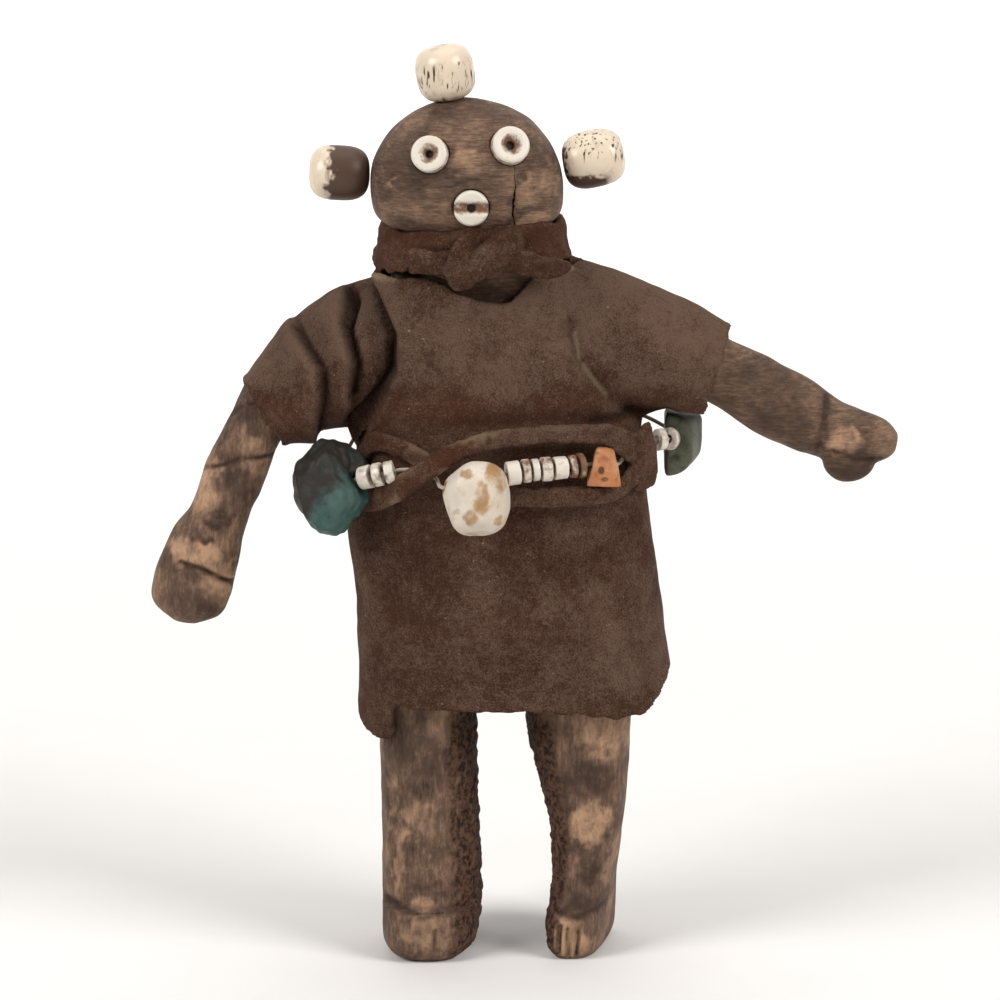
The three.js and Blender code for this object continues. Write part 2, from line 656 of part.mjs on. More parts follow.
// A shell disc seated in its socket, with a coned dish and a blind hole.
function featureDisc({ x, z, radius, thick, dish, hole }) {
  const edge = 0.45;
  const dishFloor = thick * 0.6;
  const holeFloor = thick * 0.2;
  const profile = [
    [0, 0], [radius, 0], [radius, thick - edge], [radius - edge, thick],
    [dish, thick], [hole, dishFloor], [hole, holeFloor], [0, holeFloor],
  ];
  const disc = new THREE.LatheGeometry(profile.map(([r, y]) => new THREE.Vector2(r, y)), 12);
  const facing = facingAt(x, z);
  const seat = new THREE.Vector3(x, faceAt(x, z), z).addScaledVector(facing, GAP - SOCKET_DEPTH);
  return solidOf(aimed(disc, seat, facing));
}

// The mouth disc also has a groove straight across it.
function mouthDisc() {
  const { x, z, radius } = FEATURES.mouth;
  const facing = facingAt(x, z);
  const seat = new THREE.Vector3(x, faceAt(x, z), z).addScaledVector(facing, MOUTH_GROOVE.out);
  const groove = new THREE.BoxGeometry(radius * 3, MOUTH_GROOVE.deep, MOUTH_GROOVE.tall);
  return featureDisc(FEATURES.mouth).subtract(solidOf(aimed(groove, seat, facing)));
}

// Assembly
const COLOURS = {
  antler: 0x8a6f55,
  hide: 0x4a3a31,
  bone: 0xe6dcc4,
  shell: 0xefece4,
  blue_green: 0x3f7f78,
  pale: 0xd9d0bd,
  green: 0x7d9a84,
  orange: 0xc8552f,
  thread: 0xb9a27c,
};

function piece(name, solid, colour) {
  const look = { color: COLOURS[colour], roughness: 0.75, flatShading: true };
  const mesh = new THREE.Mesh(geometryOf(solid), new THREE.MeshStandardMaterial(look));
  mesh.name = name;
  return mesh;
}

const doll = new THREE.Group();
doll.name = 'antler_doll';
doll.add(piece('carved_figure', carvedFigure(), 'antler'));
doll.add(piece('left_arm', leftArm(0), 'antler'));
doll.add(piece('right_arm', rightArm(0), 'antler'));
doll.add(piece('tunic', tunic(), 'hide'));
doll.add(piece('neck_scarf', neckScarf(), 'hide'));
doll.add(piece('belt', belt(), 'hide'));
for (const [name, bead] of Object.entries(BARREL_BEADS)) {
  doll.add(piece(name, barrelBead(bead), 'bone'));
}
doll.add(piece('left_eye', featureDisc(FEATURES.left_eye), 'shell'));
doll.add(piece('right_eye', featureDisc(FEATURES.right_eye), 'shell'));
doll.add(piece('mouth', mouthDisc(), 'shell'));
doll.add(piece('blue_green_stone', stone('blue_green_stone'), 'blue_green'));
doll.add(piece('pale_stone', stone('pale_stone'), 'pale'));
doll.add(piece('green_stone', stone('green_stone'), 'green'));
doll.add(piece('orange_shell', stone('orange_shell'), 'orange'));
doll.add(piece('bead_thread', threadSolid(THREAD_RADIUS), 'thread'));
for (const [run, { from, apart, thicks }] of Object.entries(DISC_RUNS)) {
  let along = strandShare(from) * strandPath.getLength();
  thicks.forEach((thick, i) => {
    const share = (along + thick / 2) / strandPath.getLength();
    doll.add(piece(`${run}_disc_bead_${i + 1}`, discBead(share, thick), 'shell'));
    along += thick + apart;
  });
}

// The origin is under the middle of the whole doll.
const middle = new THREE.Box3().setFromObject(doll).getCenter(new THREE.Vector3());
for (const mesh of doll.children) {
  mesh.geometry.translate(-middle.x, -middle.y, 0);
}

export default doll;
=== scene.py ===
"""An antler doll dressed in hide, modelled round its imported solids.

The tables hold millimetres in the carver's frame: +Z up, the doll faces -Y, X is 0 between its legs.
Every mesh is worked out there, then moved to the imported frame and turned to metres.
"""

import bpy
import numpy as np
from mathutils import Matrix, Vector


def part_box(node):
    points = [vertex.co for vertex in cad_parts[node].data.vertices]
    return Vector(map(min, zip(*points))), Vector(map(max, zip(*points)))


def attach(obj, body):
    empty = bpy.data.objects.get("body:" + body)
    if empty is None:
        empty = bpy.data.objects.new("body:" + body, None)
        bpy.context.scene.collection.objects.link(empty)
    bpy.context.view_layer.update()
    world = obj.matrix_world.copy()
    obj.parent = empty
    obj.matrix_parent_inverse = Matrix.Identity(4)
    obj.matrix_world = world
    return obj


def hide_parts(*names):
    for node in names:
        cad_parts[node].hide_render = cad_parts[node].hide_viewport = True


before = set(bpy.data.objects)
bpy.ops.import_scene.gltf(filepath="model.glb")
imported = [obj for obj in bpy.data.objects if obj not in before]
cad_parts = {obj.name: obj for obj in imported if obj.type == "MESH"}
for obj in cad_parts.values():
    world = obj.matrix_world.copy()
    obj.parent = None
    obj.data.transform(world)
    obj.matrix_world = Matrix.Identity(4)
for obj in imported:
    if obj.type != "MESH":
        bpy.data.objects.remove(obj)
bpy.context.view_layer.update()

bl_info = {
    "name": "Antler Doll",
    "version": (1, 0, 0),
    "blender": (4, 5, 0),
    "location": "View3D > Sidebar > Doll",
    "description": "Builds a small antler doll dressed in hide, with beads and stones",
    "category": "Add Mesh",
}

MM = 0.001
# Room behind a shell disc of the face.
GAP = 0.35
# How square an outline is: 2 gives an ellipse.
OVAL = 2.6
LEG_SQUARE = 2.9
LIMB_SQUARE = 2.2
STRIP_SQUARE = 3.4
SCARF_SQUARE = 5.0
AHEAD = np.array([0.0, -1.0, 0.0])
UP = np.array([0.0, 0.0, 1.0])
# Large primes that mix the counts of a lattice cell and the seed into one number.
X_PRIME = 374761393
Y_PRIME = 668265263
Z_PRIME = 1274126177
SEED_PRIME = 97463477

# Stage: the camera in millimetres, the lights and the backdrop in metres and watts

CAMERA_TARGET = np.array([-1.07, 0.0, 71.3])
SENSOR_WIDTH = 36.0
SOFTBOXES = {
    "left_softbox": {"at": (-0.75, -0.5, 0.66), "power": 8.2, "size": 0.5},
    "right_softbox": {"at": (0.75, -0.5, 0.66), "power": 8.6, "size": 0.5},
    "top_softbox": {"at": (0.0, 0.1, 1.1), "power": 4.0, "size": 0.8},
}
LIGHT_COLOUR = (1.0, 0.985, 0.965)
LIGHT_AIM = (0.0, 0.0, 0.07)
WORLD_COLOUR = (1.0, 0.99, 0.98, 1.0)
WORLD_STRENGTH = 0.09
BACKDROP = {"front": -2.0, "behind": 0.45, "bend": 0.5, "high": 2.0, "half_width": 2.0}

# Unevenness: layers of lumps as height, size and seed.

HEAD_LUMPS = [(0.3, 9.0, 1), (0.12, 3.0, 2)]
LEG_LUMPS = [(0.25, 8.0, 0), (0.1, 2.2, 1)]
LEG_PITS = [(0.3, 1.3, 2), (0.2, 0.7, 3)]
LEG_SEEDS = {"left": 10, "right": 20}
ARM_LUMPS = [(0.3, 7.0, 51), (0.12, 2.2, 52)]
PATCH_WANDER = [(0.6, 2.6, 41), (0.5, 0.9, 42)]
RAGGED_EDGE = [(0.3, 1.6, 61), (0.2, 0.7, 62)]
TUNIC_WAVES = [(0.45, 12.0, 71), (0.22, 5.0, 72), (0.08, 1.8, 73)]
SCARF_WRINKLES = [(0.22, 0.9, 91)]
SCARF_LUMPS = [(0.15, 2.6, 92), (0.06, 0.8, 93)]
BELT_LUMPS = [(0.16, 2.2, 101), (0.12, 0.9, 102)]
BEAD_LUMPS = [(0.1, 4.0, 111)]
BEAD_WANDER = [(0.12, 1.6, 112), (0.14, 0.5, 113)]
STONE_LUMPS = [(0.7, 2.6, 121), (0.4, 1.0, 122)]

# Head and body

HEAD = {"x": -6.0, "y": 0.0, "z": 120.0, "half_width": 14.5, "half_depth": 12.3, "crown": 13.0, "jaw": 7.2,
        "jaw_square": 3.6, "square": 2.4}
# The part of the face that the crack is measured on, as X and Z.
FACE_SPAN = (-17, 5)
FACE_HEIGHTS = (114.2, 131)
FACE_RIM = 0.999
# Rows of a standing shape: height, centre X and Y, half width, half depth and slant of the front.
BODY = [
    (116, -5.8, 0, 11.5, 9.4, 0),
    (108, -5.4, 0.2, 11.9, 9.6, 0),
    (101, -3.6, 0.6, 14.8, 10.6, 0),
    (90, -1.4, 1, 16.6, 11, 0),
    (76, 0, 1.2, 18.2, 11.2, 0),
    (60, -0.3, 1.4, 19.4, 11.6, 0),
    (46, -0.2, 1.6, 19.5, 11.4, 0),
]
BODY_BACK = 13.0
# Heights below which the antler is pitted inside, and filed upright.
PITTED_BELOW = 46.0
UPRIGHT_BELOW = 60.0
LEFT_LEG = [
    (52, -12.3, 1.8, 7.2, 10.6, -0.8),
    (34, -12.2, 2, 7.3, 10.4, -0.8),
    (12, -11.8, 2.2, 7.4, 10.2, -0.8),
    (8, -11.7, 1.6, 7.5, 11, -0.8),
    (3.4, -11.8, 1.6, 7.2, 11, -0.8),
    (1.2, -11.9, 1.6, 6.4, 10.5, -0.6),
    (0, -11.9, 1.8, 5, 9.2, -0.4),
]
RIGHT_LEG = [
    (52, 10.4, 1.8, 8.7, 10.6, 0.8),
    (34, 11.2, 2, 7.7, 10.2, 0.8),
    (20, 12.3, 2.4, 5.6, 9.6, 0),
    (11, 12.2, 2.8, 4.8, 9.2, -1.2),
    (6, 11.8, 2.4, 4.7, 10, -1.8),
    (1.6, 11.6, 2.4, 4.3, 9.9, -2),
    (0, 11.6, 2.6, 3.4, 8.8, -1.8),
]
# Rows along a limb: centre, half width and half depth.
LEFT_ARM = [
    (-14, 1, 97.5, 5.4, 5.6),
    (-27, 0.4, 95, 5, 5.2),
    (-33.4, 0, 90.8, 4.5, 5),
    (-37.2, -0.6, 85.4, 4.25, 4.8),
    (-41.1, -1.2, 76.8, 4.7, 4.7),
    (-44.2, -1.8, 68.6, 4.5, 4.4),
    (-46.4, -2.2, 64, 5.7, 4.6),
    (-48.2, -2.6, 58.4, 6, 4.6),
    (-49, -2.8, 55, 5, 3.7),
    (-49.3, -2.8, 53.2, 2, 1.6),
]
RIGHT_ARM = [
    (9, 1, 97, 5.2, 5.4),
    (24, 0.4, 94.8, 5.1, 5.2),
    (32.4, 0, 91.4, 5.1, 5),
    (41.2, -0.6, 86.5, 5.5, 5),
    (48.2, -1, 83, 4.8, 4.6),
    (53, -1.2, 81.6, 4, 4.2),
    (57.4, -1.4, 80.8, 3, 3.4),
    (59.3, -1.4, 80.4, 1.4, 1.6),
]
THUMB = {"at": (52, -2.2, 78), "half": (3.9, 3.4, 3.2)}

# Lines cut into the antler, seen from the front: places as X and Z, depth and half width.
HEAD_CRACK = [(1.0, 124.6), (1.2, 121.5), (1.0, 119.6), (0.85, 117.6), (1.05, 115.0), (1.0, 112.6)]
HEAD_CRACK_HALF_WIDTHS = [0.06, 0.12, 0.3, 0.24, 0.16, 0.12]
HEAD_CRACK_DEPTH = 2.6
LEG_GROOVES = [
    {"line": [(-18.4, 9.5), (-14.5, 8.4), (-11.4, 8.2), (-5.2, 8.9)], "deep": 0.8, "half": 0.75},
    {"line": [(-13.3, 40.5), (-13.2, 36.2)], "deep": 0.5, "half": 0.3},
    {"line": [(-11.2, 5.6), (-11.0, 2.2)], "deep": 0.3, "half": 0.25},
    {"line": [(8.0, 5.6), (7.7, 1.6)], "deep": 0.55, "half": 0.35},
    {"line": [(9.4, 5.2), (9.4, 1.0)], "deep": 0.55, "half": 0.35},
    {"line": [(11.0, 4.8), (10.7, 1.0)], "deep": 0.5, "half": 0.35},
    {"line": [(8.0, 7.6), (11.0, 7.0), (15.6, 8.6)], "deep": 0.35, "half": 0.6},
]
LEFT_ARM_GROOVES = [
    {"line": [(-49.6, 62.9), (-46.2, 61.8), (-42.0, 59.4)], "deep": 0.8, "half": 0.5},
    {"line": [(-44.4, 83.6), (-40.0, 86.7), (-35.0, 88.2)], "deep": 0.6, "half": 0.4},
    {"line": [(-46.3, 76.8), (-40.2, 78.8), (-35.6, 79.0)], "deep": 0.4, "half": 0.4},
]
RIGHT_ARM_GROOVES = [
    {"line": [(48.6, 88.2), (47.9, 83.6), (46.6, 78.6)], "deep": 0.55, "half": 0.8},
    {"line": [(49.4, 79.8), (53.0, 78.6), (57.0, 78.4)], "deep": 0.6, "half": 0.5},
]
# Patches on the antler, seen from the front: X, Z, half width, half height and strength.
PALE_PATCHES = [
    (-5.5, 125.2, 3.6, 1.7, 0.55),
    (-4.6, 123.4, 3.0, 0.8, 0.35),
    (4.4, 120.6, 2.6, 3.0, 0.45),
    (-1.6, 114.9, 3.0, 0.55, 0.9),
    (3.4, 115.6, 2.2, 1.2, 0.55),
    (-17.6, 121.2, 0.55, 0.5, 0.9),
    (-13.5, 117.5, 5.0, 1.8, 0.2),
    (-17.4, 26.0, 1.3, 3.6, 0.5),
    (-16.8, 17.0, 0.9, 5.5, 0.55),
    (-13.4, 24.2, 2.8, 2.2, 0.55),
    (-12.8, 9.2, 2.4, 0.9, 0.75),
    (-12.2, 4.6, 4.6, 2.6, 0.6),
    (-8.0, 38.6, 3.2, 1.6, 0.5),
    (14.6, 35.6, 4.2, 4.6, 0.75),
    (12.9, 22.0, 3.0, 3.6, 1.0),
    (9.8, 4.4, 3.0, 3.2, 0.95),
    (16.8, 12.0, 1.4, 6.0, 0.35),
    (-46.4, 75.0, 3.0, 4.4, 0.85),
    (-40.2, 82.0, 2.6, 2.4, 0.45),
    (-48.4, 64.4, 3.6, 2.4, 1.0),
    (-44.0, 61.0, 2.6, 4.0, 0.7),
    (-38.0, 76.5, 1.8, 3.0, 0.4),
    (51.0, 81.6, 2.6, 2.0, 1.0),
    (49.2, 84.6, 2.2, 2.6, 0.3),
    (44.0, 87.6, 3.6, 0.8, 0.25),
    (34.8, 85.4, 3.4, 1.8, 0.35),
]
DARK_PATCHES = [
    (-13.0, 33.4, 5.0, 3.0, 0.6),
    (-10.6, 18.6, 2.2, 2.6, 0.7),
    (-12.1, 11.5, 4.6, 1.2, 0.65),
    (-15.4, 20.0, 1.0, 2.0, 0.3),
    (12.4, 28.6, 4.6, 2.6, 0.85),
    (13.2, 14.4, 2.0, 2.6, 0.95),
    (11.6, 9.2, 2.2, 1.1, 0.85),
    (-43.6, 69.6, 2.6, 1.4, 1.0),
    (-46.0, 66.6, 2.0, 0.9, 0.9),
    (-47.2, 57.0, 4.4, 2.6, 0.5),
    (-40.6, 74.6, 3.2, 2.0, 0.6),
    (-37.2, 85.0, 2.6, 2.6, 0.45),
    (52.0, 76.4, 3.4, 1.4, 0.7),
    (47.4, 82.0, 0.8, 3.6, 0.7),
    (-8.0, 131.5, 5.0, 1.2, 0.6),
    (1.1, 119.0, 0.8, 5.0, 0.7),
    (40.0, 87.0, 9.0, 5.0, 0.6),
    (4.6, 124.6, 2.4, 2.0, 0.5),
    (-15.5, 123.0, 3.0, 6.0, 0.4),
]
CHEST_PATCH = (-2.2, 103.6, 5.2, 3.4, 1.0)

# Shell discs in the face

FEATURES = {
    "left_eye": {"x": -11.4, "z": 125.9, "radius": 2.75, "thick": 1.9, "dish": 1.5, "hole": 0.55},
    "right_eye": {"x": 0.3, "z": 127.0, "radius": 2.85, "thick": 1.9, "dish": 1.6, "hole": 0.6},
    "mouth": {"x": -5.35, "z": 118.3, "radius": 2.65, "thick": 1.4, "dish": 0.7, "hole": 0.6},
}
SOCKET_DEPTH = 0.5
MOUTH_GROOVE = {"half": 0.85, "deep": 0.55}

# Bone barrel beads

BARREL_BEADS = {
    "top_bead": {"at": (-9.3, 0, 136.9), "axis": (-0.17, 0, 1), "half_length": 4.2, "radius": 4.35},
    "left_ear_bead": {"at": (-25.3, 0, 121.8), "axis": (-1, 0, 0.05), "half_length": 4.6, "radius": 4.15},
    "right_ear_bead": {"at": (13, 0, 123.9), "axis": (1, 0, 0.2), "half_length": 4.7, "radius": 4.3},
}
BARREL_SQUARE = 3.0
BARREL_HOLE = {"radius": 1.0, "deep": 2.2}

# Hide clothes

TUNIC = [
    (112, -4.8, 0.4, 13.8, 11.6, 0),
    (108, -4.6, 0.5, 14.4, 12, 0),
    (104.5, -3.8, 0.6, 16.2, 12.8, 0),
    (98, -2.2, 0.8, 18.8, 13.4, 0),
    (88, -0.8, 1, 20, 13.8, 0),
    (78, 0, 1.2, 21, 13.6, 0),
    (68, -1, 1.3, 23.2, 14.4, 0),
    (54, 0.2, 1.5, 23.4, 14.8, 0),
    (34, 2, 1.6, 25, 15.2, 0),
]
LEFT_SLEEVE = [
    (-10, 1, 95.4, 11.8, 10.6),
    (-20.5, 0.6, 93.8, 11.6, 10.4),
    (-28.6, 0.2, 90.2, 9.4, 9.4),
    (-33.4, -0.2, 87.4, 7.3, 8),
    (-37, -0.4, 85.2, 6, 6.6),
]
RIGHT_SLEEVE = [
    (7, 1, 97.2, 12, 10.4),
    (17, 0.6, 95.2, 10.8, 10),
    (25, 0.2, 93.8, 8.8, 8.9),
    (31.9, 0, 91.7, 6.75, 7),
]
NECKLINE = {"height": 107.8, "lean": 0.6, "scoop": 4.0, "scoop_angle": 0.08, "scoop_spread": 0.32}
# The hem's height at angles round the body in degrees: 0 in front, positive to +X.
HEM = [
    (-180, 41.4), (-140, 40.6), (-110, 39.6), (-88, 38.4), (-72, 37.0), (-58, 35.9), (-50, 35.6),
    (-47, 36.4), (-45.6, 41.2), (-42, 41.4), (-30, 41.1), (-12, 41.2), (6, 41.2), (20, 40.4),
    (32, 39.7), (44, 39.8), (56, 41.4), (68, 43.6), (80, 45.2), (92, 45.4), (110, 44.4),
    (140, 42.4), (180, 41.4),
]
# The skin of the tunic is made this far past its edges, down to a base, and then cut.
EDGE_PAST = 4.0
TUNIC_BASE = 31.0
# Where each cut holds: heights, and X at the neck and the sleeves.
CUTS = {"hem_below": 60, "neck_above": 100, "neck_x": -4.7, "neck_half": 19, "sleeves_above": 72,
        "left_sleeve": -24, "right_sleeve": 22}
# Heights where the tunic's wear changes.
WEAR = {"chest": 92.0, "belt": 70.0, "skirt": 74.0, "lap": 58.0, "hem": 46.0}
# Folds of the tunic seen from the front: the crease's line as X and Z, how deep it is and its half width,
# and how far the hide on the line's right-hand side stands proud of the other side.
FOLDS = [
    {"line": [(-23.4, 108.0), (-23.6, 104.6), (-24.3, 99.8), (-22.7, 94.1), (-23.3, 88.6)],
     "deep": 2.4, "half": 0.6, "step": -1.2, "reach": 3.4},
    {"line": [(-19.3, 104.2), (-16.9, 98.8), (-17.0, 93.2), (-20.4, 86.2), (-23.0, 83.0)],
     "deep": 2.6, "half": 0.7, "step": 1.8, "reach": 4.4},
    {"line": [(-32.0, 98.6), (-28.0, 93.4), (-27.8, 89.2), (-28.5, 81.0)],
     "deep": 1.3, "half": 0.5, "step": -1.2, "reach": 3.2},
    {"line": [(9.4, 100.5), (10.8, 95.3), (14.8, 89.6), (18.0, 86.6)],
     "deep": 0.45, "half": 1.0, "step": -0.25, "reach": 3.5},
    {"line": [(13.0, 85.6), (18.6, 86.0), (24.4, 85.6)],
     "deep": 0.9, "half": 0.9, "step": 0.0, "reach": 3.0},
    {"line": [(-14.0, 84.6), (-4.0, 86.0), (8.0, 86.6), (14.0, 85.2)],
     "deep": 0.3, "half": 1.6, "step": 0.0, "reach": 3.0},
]
# Slashes through the tunic's nap: places as X and Z.
SLASHES = [
    [(10.1, 99.0), (10.6, 96.6), (10.8, 95.2)],
    [(11.4, 94.3), (13.0, 91.8), (14.9, 89.4)],
]
SCARF_BAND = {"x": -5.3, "y": 0.2, "top": 114.9, "bottom": 108.5, "half_width": 12.9, "half_depth": 10.9,
              "thick": 1.3, "flare": 1.7, "lean": 0.7}
# Strips of the knot: places along them, then the width and the thickness there.
SCARF_STRIPS = {
    "left_tail": [(-3.6, -14.0, 110.9, 3.6, 2.0), (-7.6, -13.9, 110.4, 3.8, 1.6),
                  (-11.4, -13.2, 110.1, 3.7, 1.4), (-14.5, -11.9, 110.2, 3.9, 1.3)],
    "lobe": [(-4.8, -12.6, 113.4, 3.0, 1.8), (-6.0, -14.6, 112.4, 4.0, 1.9), (-7.0, -15.4, 110.0, 4.4, 1.8),
             (-6.9, -15.2, 107.8, 4.1, 1.7), (-6.5, -14.6, 106.5, 2.6, 1.4)],
    "knot": [(-6.2, -14.4, 108.7, 2.6, 2.2), (-4.4, -15.6, 109.9, 4.0, 3.0), (-2.2, -16.0, 111.6, 4.8, 3.4),
             (0.2, -15.4, 113.4, 4.2, 3.0), (1.0, -13.6, 114.3, 3.0, 2.2), (0.6, -11.6, 113.2, 2.4, 1.8)],
    "right_tail": [(-1.6, -15.0, 111.4, 3.2, 2.2), (1.4, -15.4, 110.8, 3.8, 2.3),
                   (4.6, -14.9, 109.8, 3.4, 2.0), (7.4, -13.7, 109.4, 2.8, 1.7),
                   (9.5, -12.4, 109.6, 1.5, 1.2)],
}
# Strands of the belt: angle round the waist, height, width, lift off the tunic and thickness.
BELT_BAND = [
    (0.98, 77, 5.6, 1.1, 1.3), (2, 77, 6.6, 1.1, 1.3), (3.14, 77.4, 8, 1.1, 1.3),
    (4.2, 77.4, 8.4, 1.1, 1.3), (5.02, 77.2, 8.6, 1.1, 1.3),
]
OVER_STRAND = [
    (-1.4, 74.6, 4, 1.1, 1.3), (-1.04, 73, 3.8, 1.3, 1.6), (-0.68, 74.9, 3.6, 3.2, 2.0),
    (-0.39, 79.2, 3.4, 4.9, 2.1), (-0.16, 82.6, 3, 3.8, 1.9), (0.06, 84.2, 2.8, 2.8, 1.6),
    (0.36, 84.5, 2.9, 3, 1.5), (0.62, 84, 3.4, 3.2, 1.4), (0.84, 82, 4.4, 3, 1.3), (1.06, 80, 5, 2.8, 1.3),
]
UNDER_STRAND = [
    (-1.4, 79.4, 4, 1.1, 1.3), (-1.08, 81.8, 3.2, 1.1, 1.4), (-0.8, 81.8, 3.2, 1.1, 1.4),
    (-0.52, 80.2, 3, 1.1, 1.4), (-0.24, 76.8, 3.2, 1.6, 1.4), (0.06, 75, 3.3, 2.4, 1.5),
    (0.36, 75, 3, 2.8, 1.5), (0.62, 75.2, 2.6, 3, 1.4), (0.86, 77.2, 3.2, 2.4, 1.3), (1.1, 77.6, 4, 1.2, 1.3),
]
BELT_FLAP = [
    (0.84, 79.6, 4, 2.8, 1.3), (0.93, 79.4, 6, 2.8, 1.3), (1.02, 80, 7.6, 2.8, 1.3),
    (1.11, 80.6, 9, 2.9, 1.3), (1.18, 81, 9.4, 3, 1.2),
]

# Bead strand: its route round the waist, as angle, lift off the tunic and height.

STRAND_ROUTE = [
    (-1.16, 6.8, 75.6), (-0.96, 5.6, 76.8), (-0.76, 4.8, 78), (-0.6, 3.4, 78.8), (-0.47, 2.6, 78.6),
    (-0.36, 3, 77.8), (-0.24, 7, 77.2), (0, 5, 79), (0.26, 3.6, 79.6), (0.5, 3, 79.8), (0.68, 2.4, 79.2),
    (0.92, 1.2, 80.4), (1.08, 1.2, 81.2), (1.2, 1.9, 81.6), (1.38, 4.4, 81.6), (1.64, 5.8, 80.6),
    (2, 2.6, 82.6), (2.4, 1.4, 83.2), (3.1, 1.2, 83.2), (3.7, 2.6, 82.6), (4.3, 2.7, 80.6), (4.75, 4, 77.6),
]
BORE_RADIUS = 0.75
DISC_RADIUS = 1.75
DISC_HOLE = 0.7
# Runs of disc beads: how thick each bead is and how grimy, from 0 clean to 1.
DISC_RUNS = {
    "left": [(1.8, 0.25), (1.3, 0.35), (1.4, 0.3)],
    "middle": [(2.0, 0.05), (1.1, 0.55), (1.0, 0.3), (1.5, 0.35), (2.0, 0.15), (1.0, 0.8), (0.9, 0.95)],
    "right": [(1.2, 0.3), (1.0, 0.4)],
}

# Stones: the centre, then planes as a direction and a distance. The planes' rounded meeting is the stone.

STONES = {
    "blue_green_stone": {
        "at": (-26.2, -11.4, 75.6),
        "planes": [((-1, -0.2, -0.1), 5.2), ((-0.2, 0, -1), 6.9), ((0.15, -0.1, 1), 6.6),
                   ((0.8, -0.5, 0.45), 3.5), ((0.75, -0.55, -0.35), 4.8), ((-0.45, -0.85, 0.15), 4.3),
                   ((0, 1, 0), 4.0),
                   ((-0.75, -0.2, 0.65), 5.4), ((-0.7, -0.2, -0.7), 6.0), ((0.7, 0.1, -0.7), 5.9)],
        "round": 11.0, "rough": 0.75,
    },
    "pale_stone": {
        "at": (-4.5, -20.2, 75.9),
        "planes": [((-1, 0, -0.25), 5.0), ((0.1, 0, -1), 6.6), ((0.35, 0, 1), 6.4), ((1, -0.1, 0.1), 4.7),
                   ((0, -1, 0.1), 3.4), ((0, 1, 0), 3.2), ((-0.75, -0.1, 0.65), 4.9),
                   ((-0.7, 0, -0.75), 6.1), ((0.8, 0, -0.65), 6.0), ((0.85, -0.2, 0.6), 5.8),
                   ((0, -0.75, 0.7), 4.4), ((0, -0.75, -0.7), 4.6), ((0, 0.75, 0.7), 4.4),
                   ((0, 0.75, -0.7), 4.6), ((-0.75, -0.7, 0), 4.1), ((0.8, -0.65, 0), 4.3)],
        "round": 8.0, "rough": 0.1,
    },
    "green_stone": {
        "at": (26.4, 0.6, 80.3),
        "planes": [((1, -0.3, 0), 2.6), ((-1, 0, 0), 2.4), ((0, -1, 0.1), 3.2), ((0, 1, 0), 3.2),
                   ((0.15, 0, 1), 4.5), ((0.1, 0, -1), 4.6), ((0.8, -0.2, -0.7), 3.6),
                   ((0.7, -0.5, 0.7), 3.9)],
        "round": 9.0, "rough": 0.12,
    },
    "orange_shell": {
        "at": (14.4, -14.3, 79.4),
        "planes": [((-1, 0, 0.28), 1.75), ((1, 0.1, 0.15), 2.1), ((-0.1, -1, 0), 1.45), ((0, 1, 0), 1.4),
                   ((0, 0, -1), 2.8), ((0.1, 0, 1), 2.85), ((0.75, -0.4, 0.7), 2.5)],
        "round": 14.0, "rough": 0.08,
    },
}
# The way from the dark rock to the teal face of the blue-green stone.
TEAL_WAY = (0.75, -0.5, -0.75)
# Spots on stones, from their centre: X, Z, half width, half height and strength.
PALE_STONE_SPOTS = [
    (2.6, 4.2, 1.4, 1.6, 1.0), (3.6, 2.6, 0.8, 1.8, 0.8), (-1.6, 4.0, 1.0, 0.7, 0.7),
    (-1.0, -2.4, 1.2, 1.4, 1.0), (0.7, 0.6, 1.2, 2.6, 0.8), (0.4, -5.2, 2.2, 0.7, 0.7),
    (-2.8, -1.6, 0.5, 0.5, 0.6), (3.2, -3.0, 0.7, 0.9, 0.7),
]
ORANGE_SHELL_SPOTS = [(-0.3, -0.2, 0.5, 0.6, 1.0), (0.2, -1.6, 0.6, 0.4, 0.9)]
# Looks of the stones: the slot, three colours by name, lumps in a metre and the least roughness.
STONE_LOOKS = {
    "blue_green_stone": ("blue_green", ("teal", "teal_light", "matrix"), 420.0, 0.35),
    "pale_stone": ("pale", ("pale_stone", "pale_light", "pale_stain"), 300.0, 0.3),
    "green_stone": ("green", ("green_stone", "green_light", "green_stain"), 500.0, 0.3),
    "orange_shell": ("orange", ("orange", "orange_light", "orange_stain"), 600.0, 0.35),
}

FIGURE_BOX = [np.array(corner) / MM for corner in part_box("carved_figure")]
SHIFT = np.array([FIGURE_BOX[0][0] - (HEAD["x"] - HEAD["half_width"]), FIGURE_BOX[1][1] - BODY_BACK, 0.0])


class DollSizes(bpy.types.PropertyGroup):
    """Sizes of the doll that a maker would change."""

    hide_thickness: bpy.props.FloatProperty(
        name="Hide thickness", description="Thickness of the tunic's hide", default=1.2 * MM, min=0.5 * MM,
        unit="LENGTH")
    hide_mesh: bpy.props.FloatProperty(
        name="Hide mesh", description="Size of the faces that the tunic is made of", default=0.52 * MM,
        min=0.3 * MM, unit="LENGTH")
    strip_mesh: bpy.props.FloatProperty(
        name="Strip mesh", description="Size of the faces of the scarf, belt and right arm",
        default=0.3 * MM, min=0.2 * MM, unit="LENGTH")
    thread_radius: bpy.props.FloatProperty(
        name="Thread radius", description="Radius of the thread of the bead strand", default=0.3 * MM,
        min=0.1 * MM, unit="LENGTH")
    camera_distance: bpy.props.FloatProperty(
        name="Camera distance", description="Distance from the camera to the doll", default=0.75,
        unit="LENGTH")
    camera_elevation: bpy.props.FloatProperty(
        name="Camera elevation", description="Height of the camera above the horizon",
        default=np.radians(12.0), subtype="ANGLE")
    camera_lens: bpy.props.FloatProperty(
        name="Camera lens", description="Focal length of the camera in millimetres", default=176.5)


